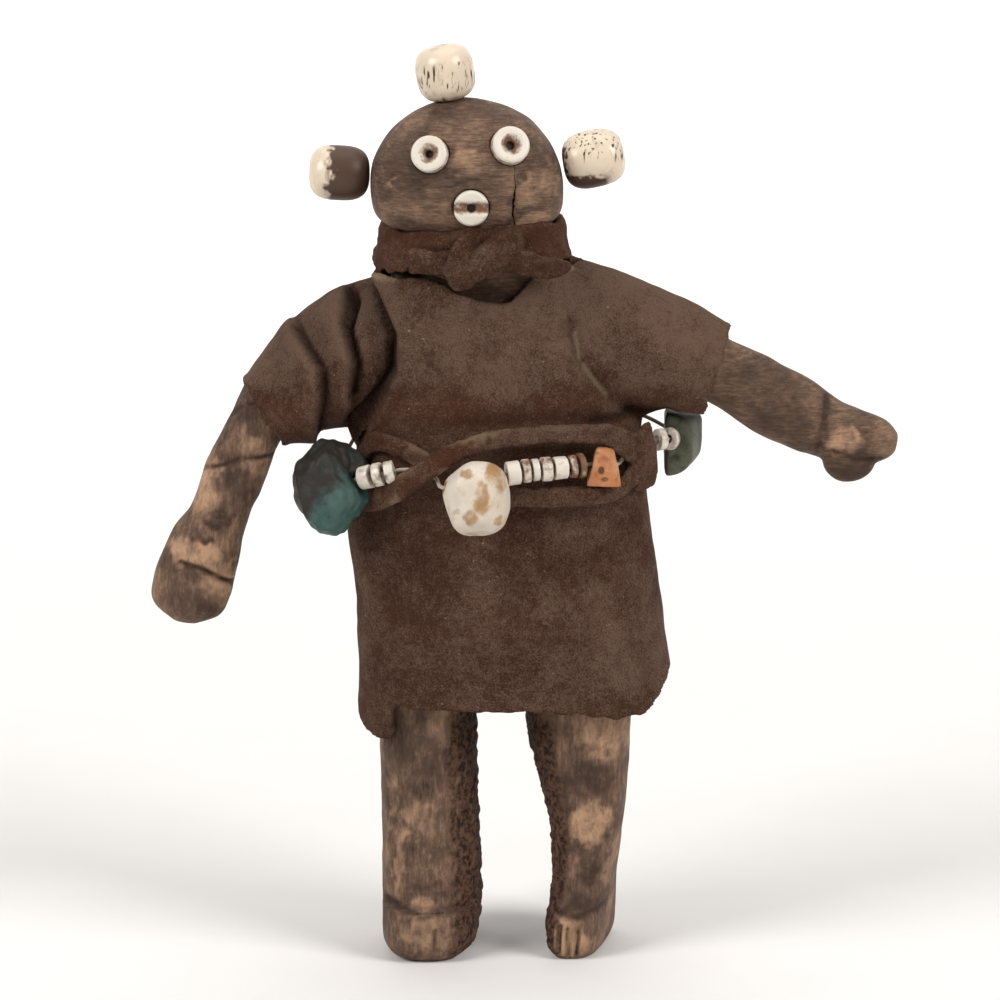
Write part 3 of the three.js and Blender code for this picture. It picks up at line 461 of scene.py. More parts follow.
class DollColours(bpy.types.PropertyGroup):
    """Colours of the doll's materials."""

    # Stained antler, and also the painted shade along the antler's grooves.
    antler_dark: bpy.props.FloatVectorProperty(
        name="Antler, dark", description="Stained antler",
        subtype="COLOR", default=(0.045, 0.024, 0.015))
    antler_brown: bpy.props.FloatVectorProperty(
        name="Antler, brown", description="Handled antler",
        subtype="COLOR", default=(0.135, 0.081, 0.054))
    antler_tan: bpy.props.FloatVectorProperty(
        name="Antler, tan", description="Scraped antler",
        subtype="COLOR", default=(0.46, 0.28, 0.17))
    antler_core: bpy.props.FloatVectorProperty(
        name="Antler core", description="Porous core of the antler",
        subtype="COLOR", default=(0.12, 0.06, 0.036))
    antler_pore: bpy.props.FloatVectorProperty(
        name="Antler pore", description="Depth of the core's pores",
        subtype="COLOR", default=(0.02, 0.01, 0.007))
    hide_brown: bpy.props.FloatVectorProperty(
        name="Hide, brown", description="Hide without its nap",
        subtype="COLOR", default=(0.054, 0.0225, 0.0125))
    # Worn nap, and also the painted light on the hide's upward faces and ridges.
    hide_grey: bpy.props.FloatVectorProperty(
        name="Hide, grey", description="Worn nap of the hide",
        subtype="COLOR", default=(0.178, 0.108, 0.076))
    hide_red: bpy.props.FloatVectorProperty(
        name="Hide, red", description="Smooth reddish side of the hide",
        subtype="COLOR", default=(0.085, 0.031, 0.016))
    hide_lint: bpy.props.FloatVectorProperty(
        name="Hide lint", description="Lint in the nap",
        subtype="COLOR", default=(0.5, 0.42, 0.34))
    hide_slash: bpy.props.FloatVectorProperty(
        name="Hide slash", description="Raw hide in slashes and rubbed edges",
        subtype="COLOR", default=(0.34, 0.24, 0.15))
    # Painted shade: the near-black that the hide takes in its folds, creases and hollows.
    hide_fold: bpy.props.FloatVectorProperty(
        name="Hide fold", description="Depth of the hide's folds",
        subtype="COLOR", default=(0.012, 0.006, 0.004))
    bone: bpy.props.FloatVectorProperty(
        name="Bone", description="Polished bone",
        subtype="COLOR", default=(0.72, 0.62, 0.5))
    bone_cloud: bpy.props.FloatVectorProperty(
        name="Bone cloud", description="Yellower clouds in the bone",
        subtype="COLOR", default=(0.66, 0.54, 0.4))
    bone_stain: bpy.props.FloatVectorProperty(
        name="Bone stain", description="Stain on the bone beads",
        subtype="COLOR", default=(0.05, 0.017, 0.007))
    shell: bpy.props.FloatVectorProperty(
        name="Shell", description="Polished shell",
        subtype="COLOR", default=(0.68, 0.64, 0.58))
    shell_cloud: bpy.props.FloatVectorProperty(
        name="Shell cloud", description="Yellower clouds in the shell",
        subtype="COLOR", default=(0.66, 0.58, 0.47))
    shell_stain: bpy.props.FloatVectorProperty(
        name="Shell stain", description="Grime in the shell discs",
        subtype="COLOR", default=(0.15, 0.066, 0.03))
    # Painted shade: the near-black painted into the discs' holes.
    shell_hole_shade: bpy.props.FloatVectorProperty(
        name="Shell hole", description="Depth of the discs' holes",
        subtype="COLOR", default=(0.008, 0.005, 0.004))
    teal: bpy.props.FloatVectorProperty(
        name="Teal", description="Blue-green stone",
        subtype="COLOR", default=(0.022, 0.066, 0.06))
    teal_light: bpy.props.FloatVectorProperty(
        name="Teal, light", description="Lighter clouds in the blue-green stone",
        subtype="COLOR", default=(0.05, 0.1, 0.085))
    matrix: bpy.props.FloatVectorProperty(
        name="Matrix", description="Dark rock in the blue-green stone",
        subtype="COLOR", default=(0.022, 0.018, 0.014))
    pale_stone: bpy.props.FloatVectorProperty(
        name="Pale stone", description="White stone",
        subtype="COLOR", default=(0.6, 0.52, 0.42))
    pale_light: bpy.props.FloatVectorProperty(
        name="Pale stone, light", description="Lighter clouds in the white stone",
        subtype="COLOR", default=(0.68, 0.62, 0.54))
    pale_stain: bpy.props.FloatVectorProperty(
        name="Pale stone stain", description="Tan spots of the white stone",
        subtype="COLOR", default=(0.36, 0.2, 0.085))
    green_stone: bpy.props.FloatVectorProperty(
        name="Green stone", description="Dark green stone",
        subtype="COLOR", default=(0.045, 0.05, 0.028))
    green_light: bpy.props.FloatVectorProperty(
        name="Green stone, light", description="Lighter clouds in the green stone",
        subtype="COLOR", default=(0.1, 0.1, 0.065))
    green_stain: bpy.props.FloatVectorProperty(
        name="Green stone stain", description="Veins of the green stone",
        subtype="COLOR", default=(0.025, 0.026, 0.015))
    orange: bpy.props.FloatVectorProperty(
        name="Orange", description="Orange shell tab",
        subtype="COLOR", default=(0.46, 0.17, 0.065))
    orange_light: bpy.props.FloatVectorProperty(
        name="Orange, light", description="Lighter clouds in the orange tab",
        subtype="COLOR", default=(0.52, 0.26, 0.13))
    orange_stain: bpy.props.FloatVectorProperty(
        name="Orange stain", description="Grime on the orange tab",
        subtype="COLOR", default=(0.1, 0.04, 0.02))
    thread: bpy.props.FloatVectorProperty(
        name="Thread", description="Thread of the bead strand",
        subtype="COLOR", default=(0.28, 0.23, 0.18))
    thread_light: bpy.props.FloatVectorProperty(
        name="Thread, light", description="Lighter fibres of the thread",
        subtype="COLOR", default=(0.5, 0.45, 0.38))
    floor: bpy.props.FloatVectorProperty(
        name="Floor", description="Seamless backdrop",
        subtype="COLOR", default=(0.78, 0.765, 0.75))
    floor_light: bpy.props.FloatVectorProperty(
        name="Floor, light", description="Lighter clouds in the backdrop",
        subtype="COLOR", default=(0.82, 0.805, 0.79))
    floor_glow: bpy.props.FloatVectorProperty(
        name="Backdrop glow", description="Light of the backdrop behind the doll",
        subtype="COLOR", default=(0.42, 0.42, 0.42))


# Numbers and curves

def squared(value, square):
    """A sine or cosine carried to a squarer outline: 2 gives an ellipse, more is squarer."""
    return np.sign(value) * np.abs(value) ** (2.0 / square)


def eased(value, low, high):
    """0 below low, 1 above high, and a smooth rise between them."""
    share = np.clip((value - low) / (high - low), 0.0, 1.0)
    return share * share * (3.0 - 2.0 * share)


def unit(vectors):
    """Vectors of length 1 in the same directions."""
    return vectors / np.linalg.norm(vectors, axis=-1, keepdims=True)


def spline(points, shares, closed=False):
    """Centripetal Catmull-Rom curve through rows of points. The first three columns set the spacing.
    Between two points it is the cubic with the points' own slopes, and other columns follow along."""
    points = np.asarray(points, float)
    spans = len(points) if closed else len(points) - 1
    place = np.asarray(shares) * spans
    first = np.minimum(place.astype(int), spans - 1)
    part = (place - first)[:, None]
    if closed:
        a, b, c, d = (points[(first + step) % spans] for step in (-1, 0, 1, 2))
    else:
        before = 2 * points[:1] - points[1:2]
        after = 2 * points[-1:] - points[-2:-1]
        longer = np.vstack([before, points, after])
        a, b, c, d = (longer[first + step] for step in range(4))
    gap_a, gap_b, gap_c = (
        np.sum((q - p)[:, :3] ** 2, axis=1, keepdims=True) ** 0.25 for p, q in ((a, b), (b, c), (c, d)))
    leaving = ((b - a) / gap_a - (c - a) / (gap_a + gap_b) + (c - b) / gap_b) * gap_b
    meeting = ((c - b) / gap_b - (d - b) / (gap_b + gap_c) + (d - c) / gap_c) * gap_b
    square = 3 * (c - b) - 2 * leaving - meeting
    cube = 2 * (b - c) + leaving + meeting
    return b + part * (leaving + part * (square + part * cube))


def even_rows(rows, shares):
    """A smooth curve through rows of numbers, spaced evenly."""
    rows = np.asarray(rows, float)
    spacing = np.zeros((len(rows), 3))
    spacing[:, 0] = np.arange(len(rows))
    return spline(np.hstack([spacing, rows]), shares)[:, 3:]


def table_at(rows, heights):
    """The columns of a table of sections at any heights, on a smooth curve through its rows."""
    fine = even_rows(rows, np.linspace(0, 1, 30 * len(rows)))[::-1]
    return [np.interp(heights, fine[:, 0], fine[:, column]) for column in range(1, fine.shape[1])]


def lattice(cells, seed):
    """A fixed number from 0 to 1 for each cell of a cubic lattice, mixed from its three counts."""
    x, y, z = cells[..., 0], cells[..., 1], cells[..., 2]
    number = x * X_PRIME + y * Y_PRIME + z * Z_PRIME + seed * SEED_PRIME
    number = (number ^ (number >> 13)) * Z_PRIME
    number = number ^ (number >> 16)
    return (number & 0xFFFFFF) / 0xFFFFFF


def lumps(points, size, seed):
    """Smooth noise from -1 to 1 with lumps of a size: lattice numbers blended across each cell."""
    place = points / size
    cell = np.floor(place).astype(np.int64)
    part = place - cell
    part = part * part * (3.0 - 2.0 * part)
    total = np.zeros(points.shape[:-1])
    for corner in np.ndindex(2, 2, 2):
        weight = np.prod(np.where(corner, part, 1.0 - part), axis=-1)
        total += weight * lattice(cell + np.array(corner), seed)
    return 2.0 * total - 1.0


def layered(points, layers, seed=0):
    """The sum of layers of lumps, each with its height, its size and its seed."""
    return sum(height * lumps(points, size, seed + own) for height, size, own in layers)


def line_distance(points, line):
    """Distance in front view from points to a line of X and Z places, and the side: 1 to its right."""
    flat = points[:, [0, 2]]
    nearest = np.full(len(flat), 1e9)
    side = np.zeros(len(flat))
    line = np.asarray(line, float)
    for start, end in zip(line[:-1], line[1:]):
        run = end - start
        share = np.clip((flat - start) @ run / (run @ run), 0, 1)
        away = flat - start - share[:, None] * run
        distance = np.hypot(away[:, 0], away[:, 1])
        turn = run[0] * away[:, 1] - run[1] * away[:, 0]
        closer = distance < nearest
        nearest = np.where(closer, distance, nearest)
        side = np.where(closer, np.sign(turn), side)
    return nearest, side


def patches(points, spots):
    """The strongest of soft oval patches seen from the front, 1 minus the squared oval distance."""
    total = np.zeros(len(points))
    for x, z, half_width, half_height, strength in spots:
        reach = ((points[:, 0] - x) / half_width) ** 2 + ((points[:, 2] - z) / half_height) ** 2
        total = np.maximum(total, strength * eased(1.6 - reach, 0.0, 1.4))
    return total


# Shapes: vertices, and faces as arrays of corner numbers

def outward(vertices, faces):
    """The shape with its faces pointing out, by the sign of its volume."""
    volume = 0.0
    for group in faces:
        for turn in range(1, group.shape[1] - 1):
            a, b, c = vertices[group[:, 0]], vertices[group[:, turn]], vertices[group[:, turn + 1]]
            volume += np.einsum("ij,ij->", a, np.cross(b, c))
    if volume < 0:
        faces = [group[:, ::-1] for group in faces]
    return vertices, faces


def tube(points):
    """A closed tube from rows of rings: quads between the rings, and a fan to the middle of each end."""
    rows, sides, _ = points.shape
    ring = np.arange(sides)
    after = np.roll(ring, -1)
    base = (np.arange(rows - 1) * sides)[:, None]
    quads = np.stack([base + ring, base + after, base + sides + after, base + sides + ring], axis=-1)
    low = np.full(sides, rows * sides)
    last = (rows - 1) * sides
    fans = np.vstack([
        np.stack([low, after, ring], axis=-1),
        np.stack([low + 1, last + ring, last + after], axis=-1),
    ])
    ends = np.stack([points[0].mean(axis=0), points[-1].mean(axis=0)])
    vertices = np.vstack([points.reshape(-1, 3), ends])
    return outward(vertices, [quads.reshape(-1, 4), fans])


def hoop(points):
    """A closed ring from rows of rings, the last row joined to the first."""
    rows, sides, _ = points.shape
    ring = np.arange(sides)
    after = np.roll(ring, -1)
    base = (np.arange(rows) * sides)[:, None]
    following = np.roll(base, -1, axis=0)
    quads = np.stack([base + ring, base + after, following + after, following + ring], axis=-1)
    return outward(points.reshape(-1, 3), [quads.reshape(-1, 4)])


def standing(rows, sides, steps, top, bottom, square=OVAL):
    """A standing shape: superellipse rings from a table of sections, between two edges.
    Heights spread evenly from bottom(angle) to top(angle)."""
    angle = np.linspace(-np.pi, np.pi, sides, endpoint=False)
    share = np.linspace(0, 1, steps)[:, None]
    height = bottom(angle) + (top(angle) - bottom(angle)) * share
    x, y, wide, deep, slant = table_at(rows, height)
    across = squared(np.sin(angle), square)
    front = squared(np.cos(angle), square)
    return np.stack([x + wide * across + slant * front, y - deep * front, height], axis=-1)


def limb(sections, sides, steps, overrun=0.0):
    """A tube along a path of sections: superellipse rings square to the path, their depth to the front."""
    path = spline(sections, np.linspace(0, 1, steps))
    centre = path[:, :3]
    along = unit(np.gradient(centre, axis=0))
    front = unit(AHEAD - along * (along @ AHEAD)[:, None])
    across = np.cross(along, front)
    angle = np.linspace(-np.pi, np.pi, sides, endpoint=False)
    out = squared(np.sin(angle), LIMB_SQUARE)[None, :, None]
    forward = squared(np.cos(angle), LIMB_SQUARE)[None, :, None]
    across = (path[:, 3:4] * across)[:, None]
    front = (path[:, 4:5] * front)[:, None]
    rings = centre[:, None] + out * across + forward * front
    if overrun:
        rings = np.concatenate([rings, rings[-1:] + along[-1] * overrun])
    return rings


def ball(at, half, sides=48, steps=32):
    """A ball stretched to half sizes: rings at even angles from pole to pole."""
    rise = np.linspace(-np.pi / 2, np.pi / 2, steps + 2)[1:-1, None]
    angle = np.linspace(0, 2 * np.pi, sides, endpoint=False)
    points = np.stack(np.broadcast_arrays(
        np.cos(rise) * np.cos(angle), np.cos(rise) * np.sin(angle), np.sin(rise)), axis=-1)
    return points * np.array(half) + np.array(at)


def turned(profile, at, axis, sides):
    """A turned shape: a profile of radius and height, carried round an axis from a place."""
    axis = unit(np.array(axis, float))
    side = unit(np.cross(axis, AHEAD if abs(axis[1]) < 0.9 else UP))
    other = np.cross(axis, side)
    angle = np.linspace(0, 2 * np.pi, sides, endpoint=False)[None, :, None]
    profile = np.asarray(profile, float)
    radius, height = profile[:, 0][:, None, None], profile[:, 1][:, None, None]
    return np.array(at) + height * axis + radius * (np.cos(angle) * side + np.sin(angle) * other)


def rounded(profile, radius, steps=5):
    """A profile with its inner corners rounded by quarter curves that reach back along both sides."""
    profile = np.asarray(profile, float)
    share = np.linspace(0, 1, steps)[:, None]
    made = [profile[:1]]
    for before, corner, after in zip(profile, profile[1:], profile[2:]):
        back, ahead = before - corner, after - corner
        reach = min(radius, 0.45 * np.hypot(*back), 0.45 * np.hypot(*ahead))
        start = corner + unit(back) * reach
        end = corner + unit(ahead) * reach
        made.append((1 - share) ** 2 * start + 2 * share * (1 - share) * corner + share ** 2 * end)
    made.append(profile[-1:])
    return np.vstack(made)


# Meshes

def mesh_of(name, vertices, faces):
    """A mesh from vertices and arrays of corner numbers."""
    mesh = bpy.data.meshes.new(name)
    corners = [face for group in faces for face in group.tolist()]
    mesh.from_pydata(vertices.tolist(), [], corners)
    mesh.update()
    return mesh


def holder_of(name, vertices, faces):
    """A passing object that holds a shape while a modifier works on it."""
    holder = bpy.data.objects.new(name, mesh_of(name, vertices, faces))
    bpy.context.scene.collection.objects.link(holder)
    return holder


def worked(holder, others=()):
    """The shape that a passing object has after its modifiers. The passing objects are removed."""
    ready = holder.evaluated_get(bpy.context.evaluated_depsgraph_get())
    mesh = bpy.data.meshes.new_from_object(ready)
    vertices = np.zeros(len(mesh.vertices) * 3)
    mesh.vertices.foreach_get("co", vertices)
    totals = np.zeros(len(mesh.polygons), np.int64)
    mesh.polygons.foreach_get("loop_total", totals)
    starts = np.zeros(len(mesh.polygons), np.int64)
    mesh.polygons.foreach_get("loop_start", starts)
    corners = np.zeros(len(mesh.loops), np.int64)
    mesh.loops.foreach_get("vertex_index", corners)
    faces = [corners[starts[totals == size][:, None] + np.arange(size)] for size in np.unique(totals)]
    bpy.data.meshes.remove(mesh)
    for passing in (holder, *others):
        data = passing.data
        bpy.data.objects.remove(passing)
        bpy.data.meshes.remove(data)
    return vertices.reshape(-1, 3), faces


def skinned(shapes, cell):
    """One skin round several closed shapes, of square faces as large as a cell."""
    vertices = np.vstack([shape[0] for shape in shapes])
    starts = np.cumsum([0] + [len(shape[0]) for shape in shapes])
    faces = [group + start for (_, groups), start in zip(shapes, starts) for group in groups]
    holder = holder_of("skin", vertices, faces)
    remesh = holder.modifiers.new("Skin", "REMESH")
    remesh.mode = "VOXEL"
    remesh.voxel_size = cell
    return worked(holder)


def joined(shape, others, operation):
    """A closed shape with others added to it or cut from it."""
    holder = holder_of("whole", *shape)
    tools = []
    for number, other in enumerate(others):
        tool = holder_of(f"tool_{number}", *other)
        boolean = holder.modifiers.new(f"Join {number}", "BOOLEAN")
        boolean.object = tool
        boolean.operation = operation
        boolean.solver = "MANIFOLD"
        tools.append(tool)
    return worked(holder, tools)


def corner_pairs(faces):
    """The sides of some faces, as pairs of corner numbers."""
    sides = [np.stack([group, np.roll(group, -1, axis=1)], axis=-1) for group in faces]
    return np.vstack([pairs.reshape(-1, 2) for pairs in sides])


def edges_of(faces):
    """Each edge of some faces once, as pairs of corner numbers."""
    return np.unique(np.sort(corner_pairs(faces), axis=1), axis=0)


def relaxed(vertices, faces, steps, share=0.5):
    """Vertices drawn towards the mean of their neighbours, a few times over."""
    edges = edges_of(faces)
    ends = np.concatenate([edges[:, 0], edges[:, 1]])
    others = np.concatenate([edges[:, 1], edges[:, 0]])
    count = np.maximum(np.bincount(ends, minlength=len(vertices)), 1)[:, None]
    share = np.broadcast_to(np.asarray(share, float), (len(vertices),))[:, None]
    for _ in range(steps):
        sums = [np.bincount(ends, weights=column, minlength=len(vertices)) for column in vertices[others].T]
        vertices = vertices + share * (np.stack(sums, axis=-1) / count - vertices)
    return vertices


def normals_of(vertices, faces):
    """The direction out of the surface at each vertex: the sum of the faces' area vectors round it."""
    total = np.zeros_like(vertices)
    for group in faces:
        across = vertices[group[:, 1 if group.shape[1] == 3 else 2]] - vertices[group[:, 0]]
        other = vertices[group[:, -1]] - vertices[group[:, 0 if group.shape[1] == 3 else 1]]
        area = np.cross(across, other)
        for corner in range(group.shape[1]):
            ends = group[:, corner]
            sums = [np.bincount(ends, weights=column, minlength=len(vertices)) for column in area.T]
            total += np.stack(sums, axis=-1)
    return total / np.maximum(np.linalg.norm(total, axis=1, keepdims=True), 1e-12)


def proudness(vertices, faces, normals, steps):
    """How far each vertex stands out of the smoothed surface: above 0 on ridges, below in hollows."""
    return np.einsum("ij,ij->i", vertices - relaxed(vertices, faces, steps), normals)


def piece(name, shape, material, nodes, masks):
    """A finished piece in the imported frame, with its masks as attributes, riding on the doll's body."""
    vertices, faces = shape
    mesh = mesh_of(name, (vertices + SHIFT) * MM, faces)
    mesh.shade_smooth()
    for mask, values in masks.items():
        layer = mesh.attributes.new(mask, "FLOAT", "POINT")
        layer.data.foreach_set("value", np.clip(values, 0, 1).astype(np.float32))
    mesh.materials.append(material)
    made = bpy.data.objects.new(name, mesh)
    bpy.context.scene.collection.objects.link(made)
    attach(made, "root")
    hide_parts(*nodes)
    return made


# Material nodes

def add(tree, kind, inputs=None, **settings):
    """A node with its settings, and its inputs set to values or linked to other nodes' outputs."""
    made = tree.nodes.new(kind)
    for key, value in settings.items():
        setattr(made, key, value)
    for key, value in (inputs or {}).items():
        if isinstance(value, bpy.types.NodeSocket):
            tree.links.new(value, made.inputs[key])
        else:
            made.inputs[key].default_value = value
    return made


def colour_of(name):
    """A colour of the doll, with full alpha."""
    return (*getattr(bpy.context.scene.doll_colours, name), 1.0)


def maths(tree, operation, first, second=0.0, third=0.0):
    """The result of a sum on one, two or three numbers."""
    return add(tree, "ShaderNodeMath", {0: first, 1: second, 2: third}, operation=operation).outputs[0]


def mixed(tree, share, first, second, blend="MIX"):
    """Two colours mixed by a share."""
    node = add(tree, "ShaderNodeMix", {0: share, 6: first, 7: second}, data_type="RGBA", blend_type=blend)
    return node.outputs[2]


def noise(tree, vector, scale, detail=4.0, roughness=0.55, stretch=(1.0, 1.0, 1.0)):
    """Noise from 0 to 1 with lumps about 1 / scale metres across, stretched by dividing the scale."""
    mapping = add(tree, "ShaderNodeMapping", {"Vector": vector, "Scale": stretch})
    made = add(tree, "ShaderNodeTexNoise", {
        "Vector": mapping.outputs[0], "Scale": scale, "Detail": detail, "Roughness": roughness})
    return made.outputs["Fac"]


def between(tree, value, low, high):
    """A number carried from low..high to 0..1 with a smooth rise."""
    node = add(tree, "ShaderNodeMapRange", {"Value": value, "From Min": low, "From Max": high},
               interpolation_type="SMOOTHSTEP")
    return node.outputs[0]


def mask_of(tree, name):
    """A mask that the piece holds as an attribute."""
    return add(tree, "ShaderNodeAttribute", attribute_name=name).outputs["Fac"]


def group_tree(name, inputs, outputs):
    """A new node group with its named sockets, and its input and output nodes."""
    tree = bpy.data.node_groups.new(name, "ShaderNodeTree")
    for socket, (kind, default) in inputs.items():
        made = tree.interface.new_socket(socket, in_out="INPUT", socket_type=kind)
        if default is not None:
            made.default_value = default
    for socket, kind in outputs.items():
        tree.interface.new_socket(socket, in_out="OUTPUT", socket_type=kind)
    return tree, tree.nodes.new("NodeGroupInput"), tree.nodes.new("NodeGroupOutput")


def grime_group():
    """Grime: specks and clouds of a size. The mask is the share of grime, and grows with Amount."""
    found = bpy.data.node_groups.get("Grime")
    if found:
        return found
    tree, given, result = group_tree(
        "Grime",
        {"Vector": ("NodeSocketVector", None), "Size": ("NodeSocketFloat", 500.0),
         "Amount": ("NodeSocketFloat", 0.5)},
        {"Mask": "NodeSocketFloat", "Height": "NodeSocketFloat"})
    clouds = add(tree, "ShaderNodeTexNoise", {
        "Vector": given.outputs["Vector"], "Scale": given.outputs["Size"], "Detail": 6.0, "Roughness": 0.7})
    level = maths(tree, "MULTIPLY_ADD", given.outputs["Amount"], 0.62, clouds.outputs["Fac"])
    mask = between(tree, level, 0.62, 1.0)
    tree.links.new(mask, result.inputs["Mask"])
    tree.links.new(clouds.outputs["Fac"], result.inputs["Height"])
    return tree


def nap_group():
    """Nap: the fuzz of worn hide. Tone is fine speckle in soft clouds, Height is for bump."""
    found = bpy.data.node_groups.get("Nap")
    if found:
        return found
    tree, given, result = group_tree(
        "Nap",
        {"Vector": ("NodeSocketVector", None), "Cloud": ("NodeSocketFloat", 170.0)},
        {"Tone": "NodeSocketFloat", "Height": "NodeSocketFloat", "Lint": "NodeSocketFloat"})
    vector = given.outputs["Vector"]
    fuzz = between(tree, noise(tree, vector, 4200.0, 2.0, 0.6), 0.3, 0.7)
    grain = between(tree, noise(tree, vector, 950.0, 4.0, 0.7), 0.3, 0.7)
    cloud = add(tree, "ShaderNodeTexNoise", {
        "Vector": vector, "Scale": given.outputs["Cloud"], "Detail": 4.0, "Roughness": 0.6}).outputs["Fac"]
    speckle = maths(tree, "MULTIPLY_ADD", fuzz, 0.62, maths(tree, "MULTIPLY", grain, 0.38))
    tone = maths(tree, "MULTIPLY_ADD", cloud, 0.62, maths(tree, "MULTIPLY", speckle, 0.38))
    specks = noise(tree, vector, 1500.0, 1.0, 0.4)
    tree.links.new(tone, result.inputs["Tone"])
    tree.links.new(speckle, result.inputs["Height"])
    tree.links.new(between(tree, specks, 0.775, 0.8), result.inputs["Lint"])
    return tree


def material_of(name):
    """A new material: its node tree, its surface shader and the piece's own coordinates."""
    material = bpy.data.materials.new(name)
    material.use_nodes = True
    tree = material.node_tree
    shader = tree.nodes["Principled BSDF"]
    vector = add(tree, "ShaderNodeTexCoord").outputs["Object"]
    return material, tree, shader, vector


def bumped(tree, shader, height, depth):
    """Relief on a surface: a height from 0 to 1, as deep as given in millimetres."""
    bump = add(tree, "ShaderNodeBump", {"Height": height, "Distance": depth * MM, "Strength": 1.0})
    tree.links.new(bump.outputs[0], shader.inputs["Normal"])


def antler_material():
    """Antler: fine file marks across it, pale where scraped, dark where stained and with painted shade along
    its grooves, porous inside.
    """
    material, tree, shader, vector = material_of("carved_antler")
    across = noise(tree, vector, 1.0, 5.0, 0.75, (520.0, 520.0, 3000.0))
    upright = noise(tree, vector, 1.0, 5.0, 0.75, (1300.0, 1300.0, 360.0))
    turn = add(tree, "ShaderNodeMix", {0: mask_of(tree, "upright"), 2: across, 3: upright})
    marks = between(tree, turn.outputs[0], 0.3, 0.72)
    clouds = between(tree, noise(tree, vector, 150.0, 5.0, 0.6), 0.3, 0.7)
    blotch = noise(tree, vector, 420.0, 5.0, 0.65)
    pale, dark, core = (mask_of(tree, name) for name in ("pale", "dark", "core"))
    light = maths(tree, "MULTIPLY_ADD", marks, 0.34, maths(tree, "MULTIPLY", clouds, 0.34))
    scraped = maths(tree, "MULTIPLY", pale, between(tree, blotch, 0.12, 0.66))
    light = maths(tree, "MULTIPLY_ADD", scraped, 0.62, light)
    tone = add(tree, "ShaderNodeValToRGB", {"Fac": light})
    ramp = tone.color_ramp.elements
    ramp[0].position, ramp[0].color = 0.08, colour_of("antler_dark")
    ramp[1].position, ramp[1].color = 0.9, colour_of("antler_tan")
    middle = ramp.new(0.36)
    middle.color = colour_of("antler_brown")
    # The dark mask holds stains and the painted shade along the grooves.
    stain = maths(tree, "MULTIPLY", dark, between(tree, blotch, 0.25, 0.6))
    colour = mixed(tree, stain, tone.outputs["Color"], colour_of("antler_dark"))
    pores = between(tree, noise(tree, vector, 1100.0, 3.0, 0.6), 0.35, 0.6)
    inside = mixed(tree, pores, colour_of("antler_pore"), colour_of("antler_core"))
    colour = mixed(tree, core, colour, inside)
    tree.links.new(colour, shader.inputs["Base Color"])
    rough = maths(tree, "MULTIPLY_ADD", marks, 0.2, 0.58)
    shader.inputs["Specular IOR Level"].default_value = 0.25
    tree.links.new(maths(tree, "MULTIPLY_ADD", core, 0.25, rough), shader.inputs["Roughness"])
    height = maths(tree, "MULTIPLY_ADD", blotch, 0.6, marks)
    holes = maths(tree, "MULTIPLY", pores, core)
    bumped(tree, shader, maths(tree, "MULTIPLY_ADD", holes, 2.5, height), 0.12)
    return material


def hide_material(name, grey, red):
    """Hide: brown with a grey nap where worn and where the mask paints light, redder on its smooth side, dark
    with painted shade in the folds.
    """
    material, tree, shader, vector = material_of(name)
    nap = add(tree, "ShaderNodeGroup", node_tree=nap_group())
    tree.links.new(vector, nap.inputs["Vector"])
    tone, height, lint = (nap.outputs[socket] for socket in ("Tone", "Height", "Lint"))
    # The worn mask is partly wear and partly painted light on upward faces and ridges.
    worn = maths(tree, "MULTIPLY_ADD", mask_of(tree, "worn"), 0.3, maths(tree, "ADD", tone, grey))
    worn = between(tree, worn, 0.36, 0.84)
    smooth = maths(tree, "MULTIPLY_ADD", mask_of(tree, "smooth"), 1.0, red)
    base = mixed(tree, smooth, colour_of("hide_brown"), colour_of("hide_red"))
    colour = mixed(tree, worn, base, colour_of("hide_grey"))
    colour = mixed(tree, maths(tree, "MULTIPLY", lint, 0.35), colour, colour_of("hide_lint"))
    colour = mixed(tree, mask_of(tree, "slash"), colour, colour_of("hide_slash"))
    # Painted shade: the deep mask darkens folds, creases and hollows.
    shade = maths(tree, "MULTIPLY", mask_of(tree, "deep"), 0.75)
    colour = mixed(tree, shade, colour, colour_of("hide_fold"))
    tree.links.new(colour, shader.inputs["Base Color"])
    shader.inputs["Roughness"].default_value = 0.88
    shader.inputs["Specular IOR Level"].default_value = 0.12
    shader.inputs["Sheen Weight"].default_value = 0.05
    shader.inputs["Sheen Tint"].default_value = colour_of("hide_grey")
    bumped(tree, shader, height, 0.45)
    return material


def bone_material():
    """Bone: polished cream with short brown grain marks and stained ends."""
    material, tree, shader, vector = material_of("polished_bone")
    stain = mask_of(tree, "stain")
    grain = noise(tree, vector, 1.0, 2.0, 0.6, (2300.0, 2300.0, 300.0))
    marks = maths(tree, "MULTIPLY", between(tree, grain, 0.56, 0.66), mask_of(tree, "marks"))
    grime = add(tree, "ShaderNodeGroup", {"Size": 420.0, "Amount": stain}, node_tree=grime_group())
    tree.links.new(vector, grime.inputs["Vector"])
    cloud = noise(tree, vector, 260.0, 4.0, 0.5)
    cream = mixed(tree, cloud, colour_of("bone"), colour_of("bone_cloud"))
    dirt = maths(tree, "MAXIMUM", marks, maths(tree, "MULTIPLY", grime.outputs["Mask"], 0.96))
    tree.links.new(mixed(tree, dirt, cream, colour_of("bone_stain")), shader.inputs["Base Color"])
    tree.links.new(maths(tree, "MULTIPLY_ADD", dirt, 0.25, 0.24), shader.inputs["Roughness"])
    shader.inputs["Specular IOR Level"].default_value = 0.35
    shader.inputs["Subsurface Weight"].default_value = 0.1
    shader.inputs["Subsurface Radius"].default_value = (0.0012, 0.0008, 0.0005)
    bumped(tree, shader, maths(tree, "SUBTRACT", cloud, dirt), 0.05)
    return material


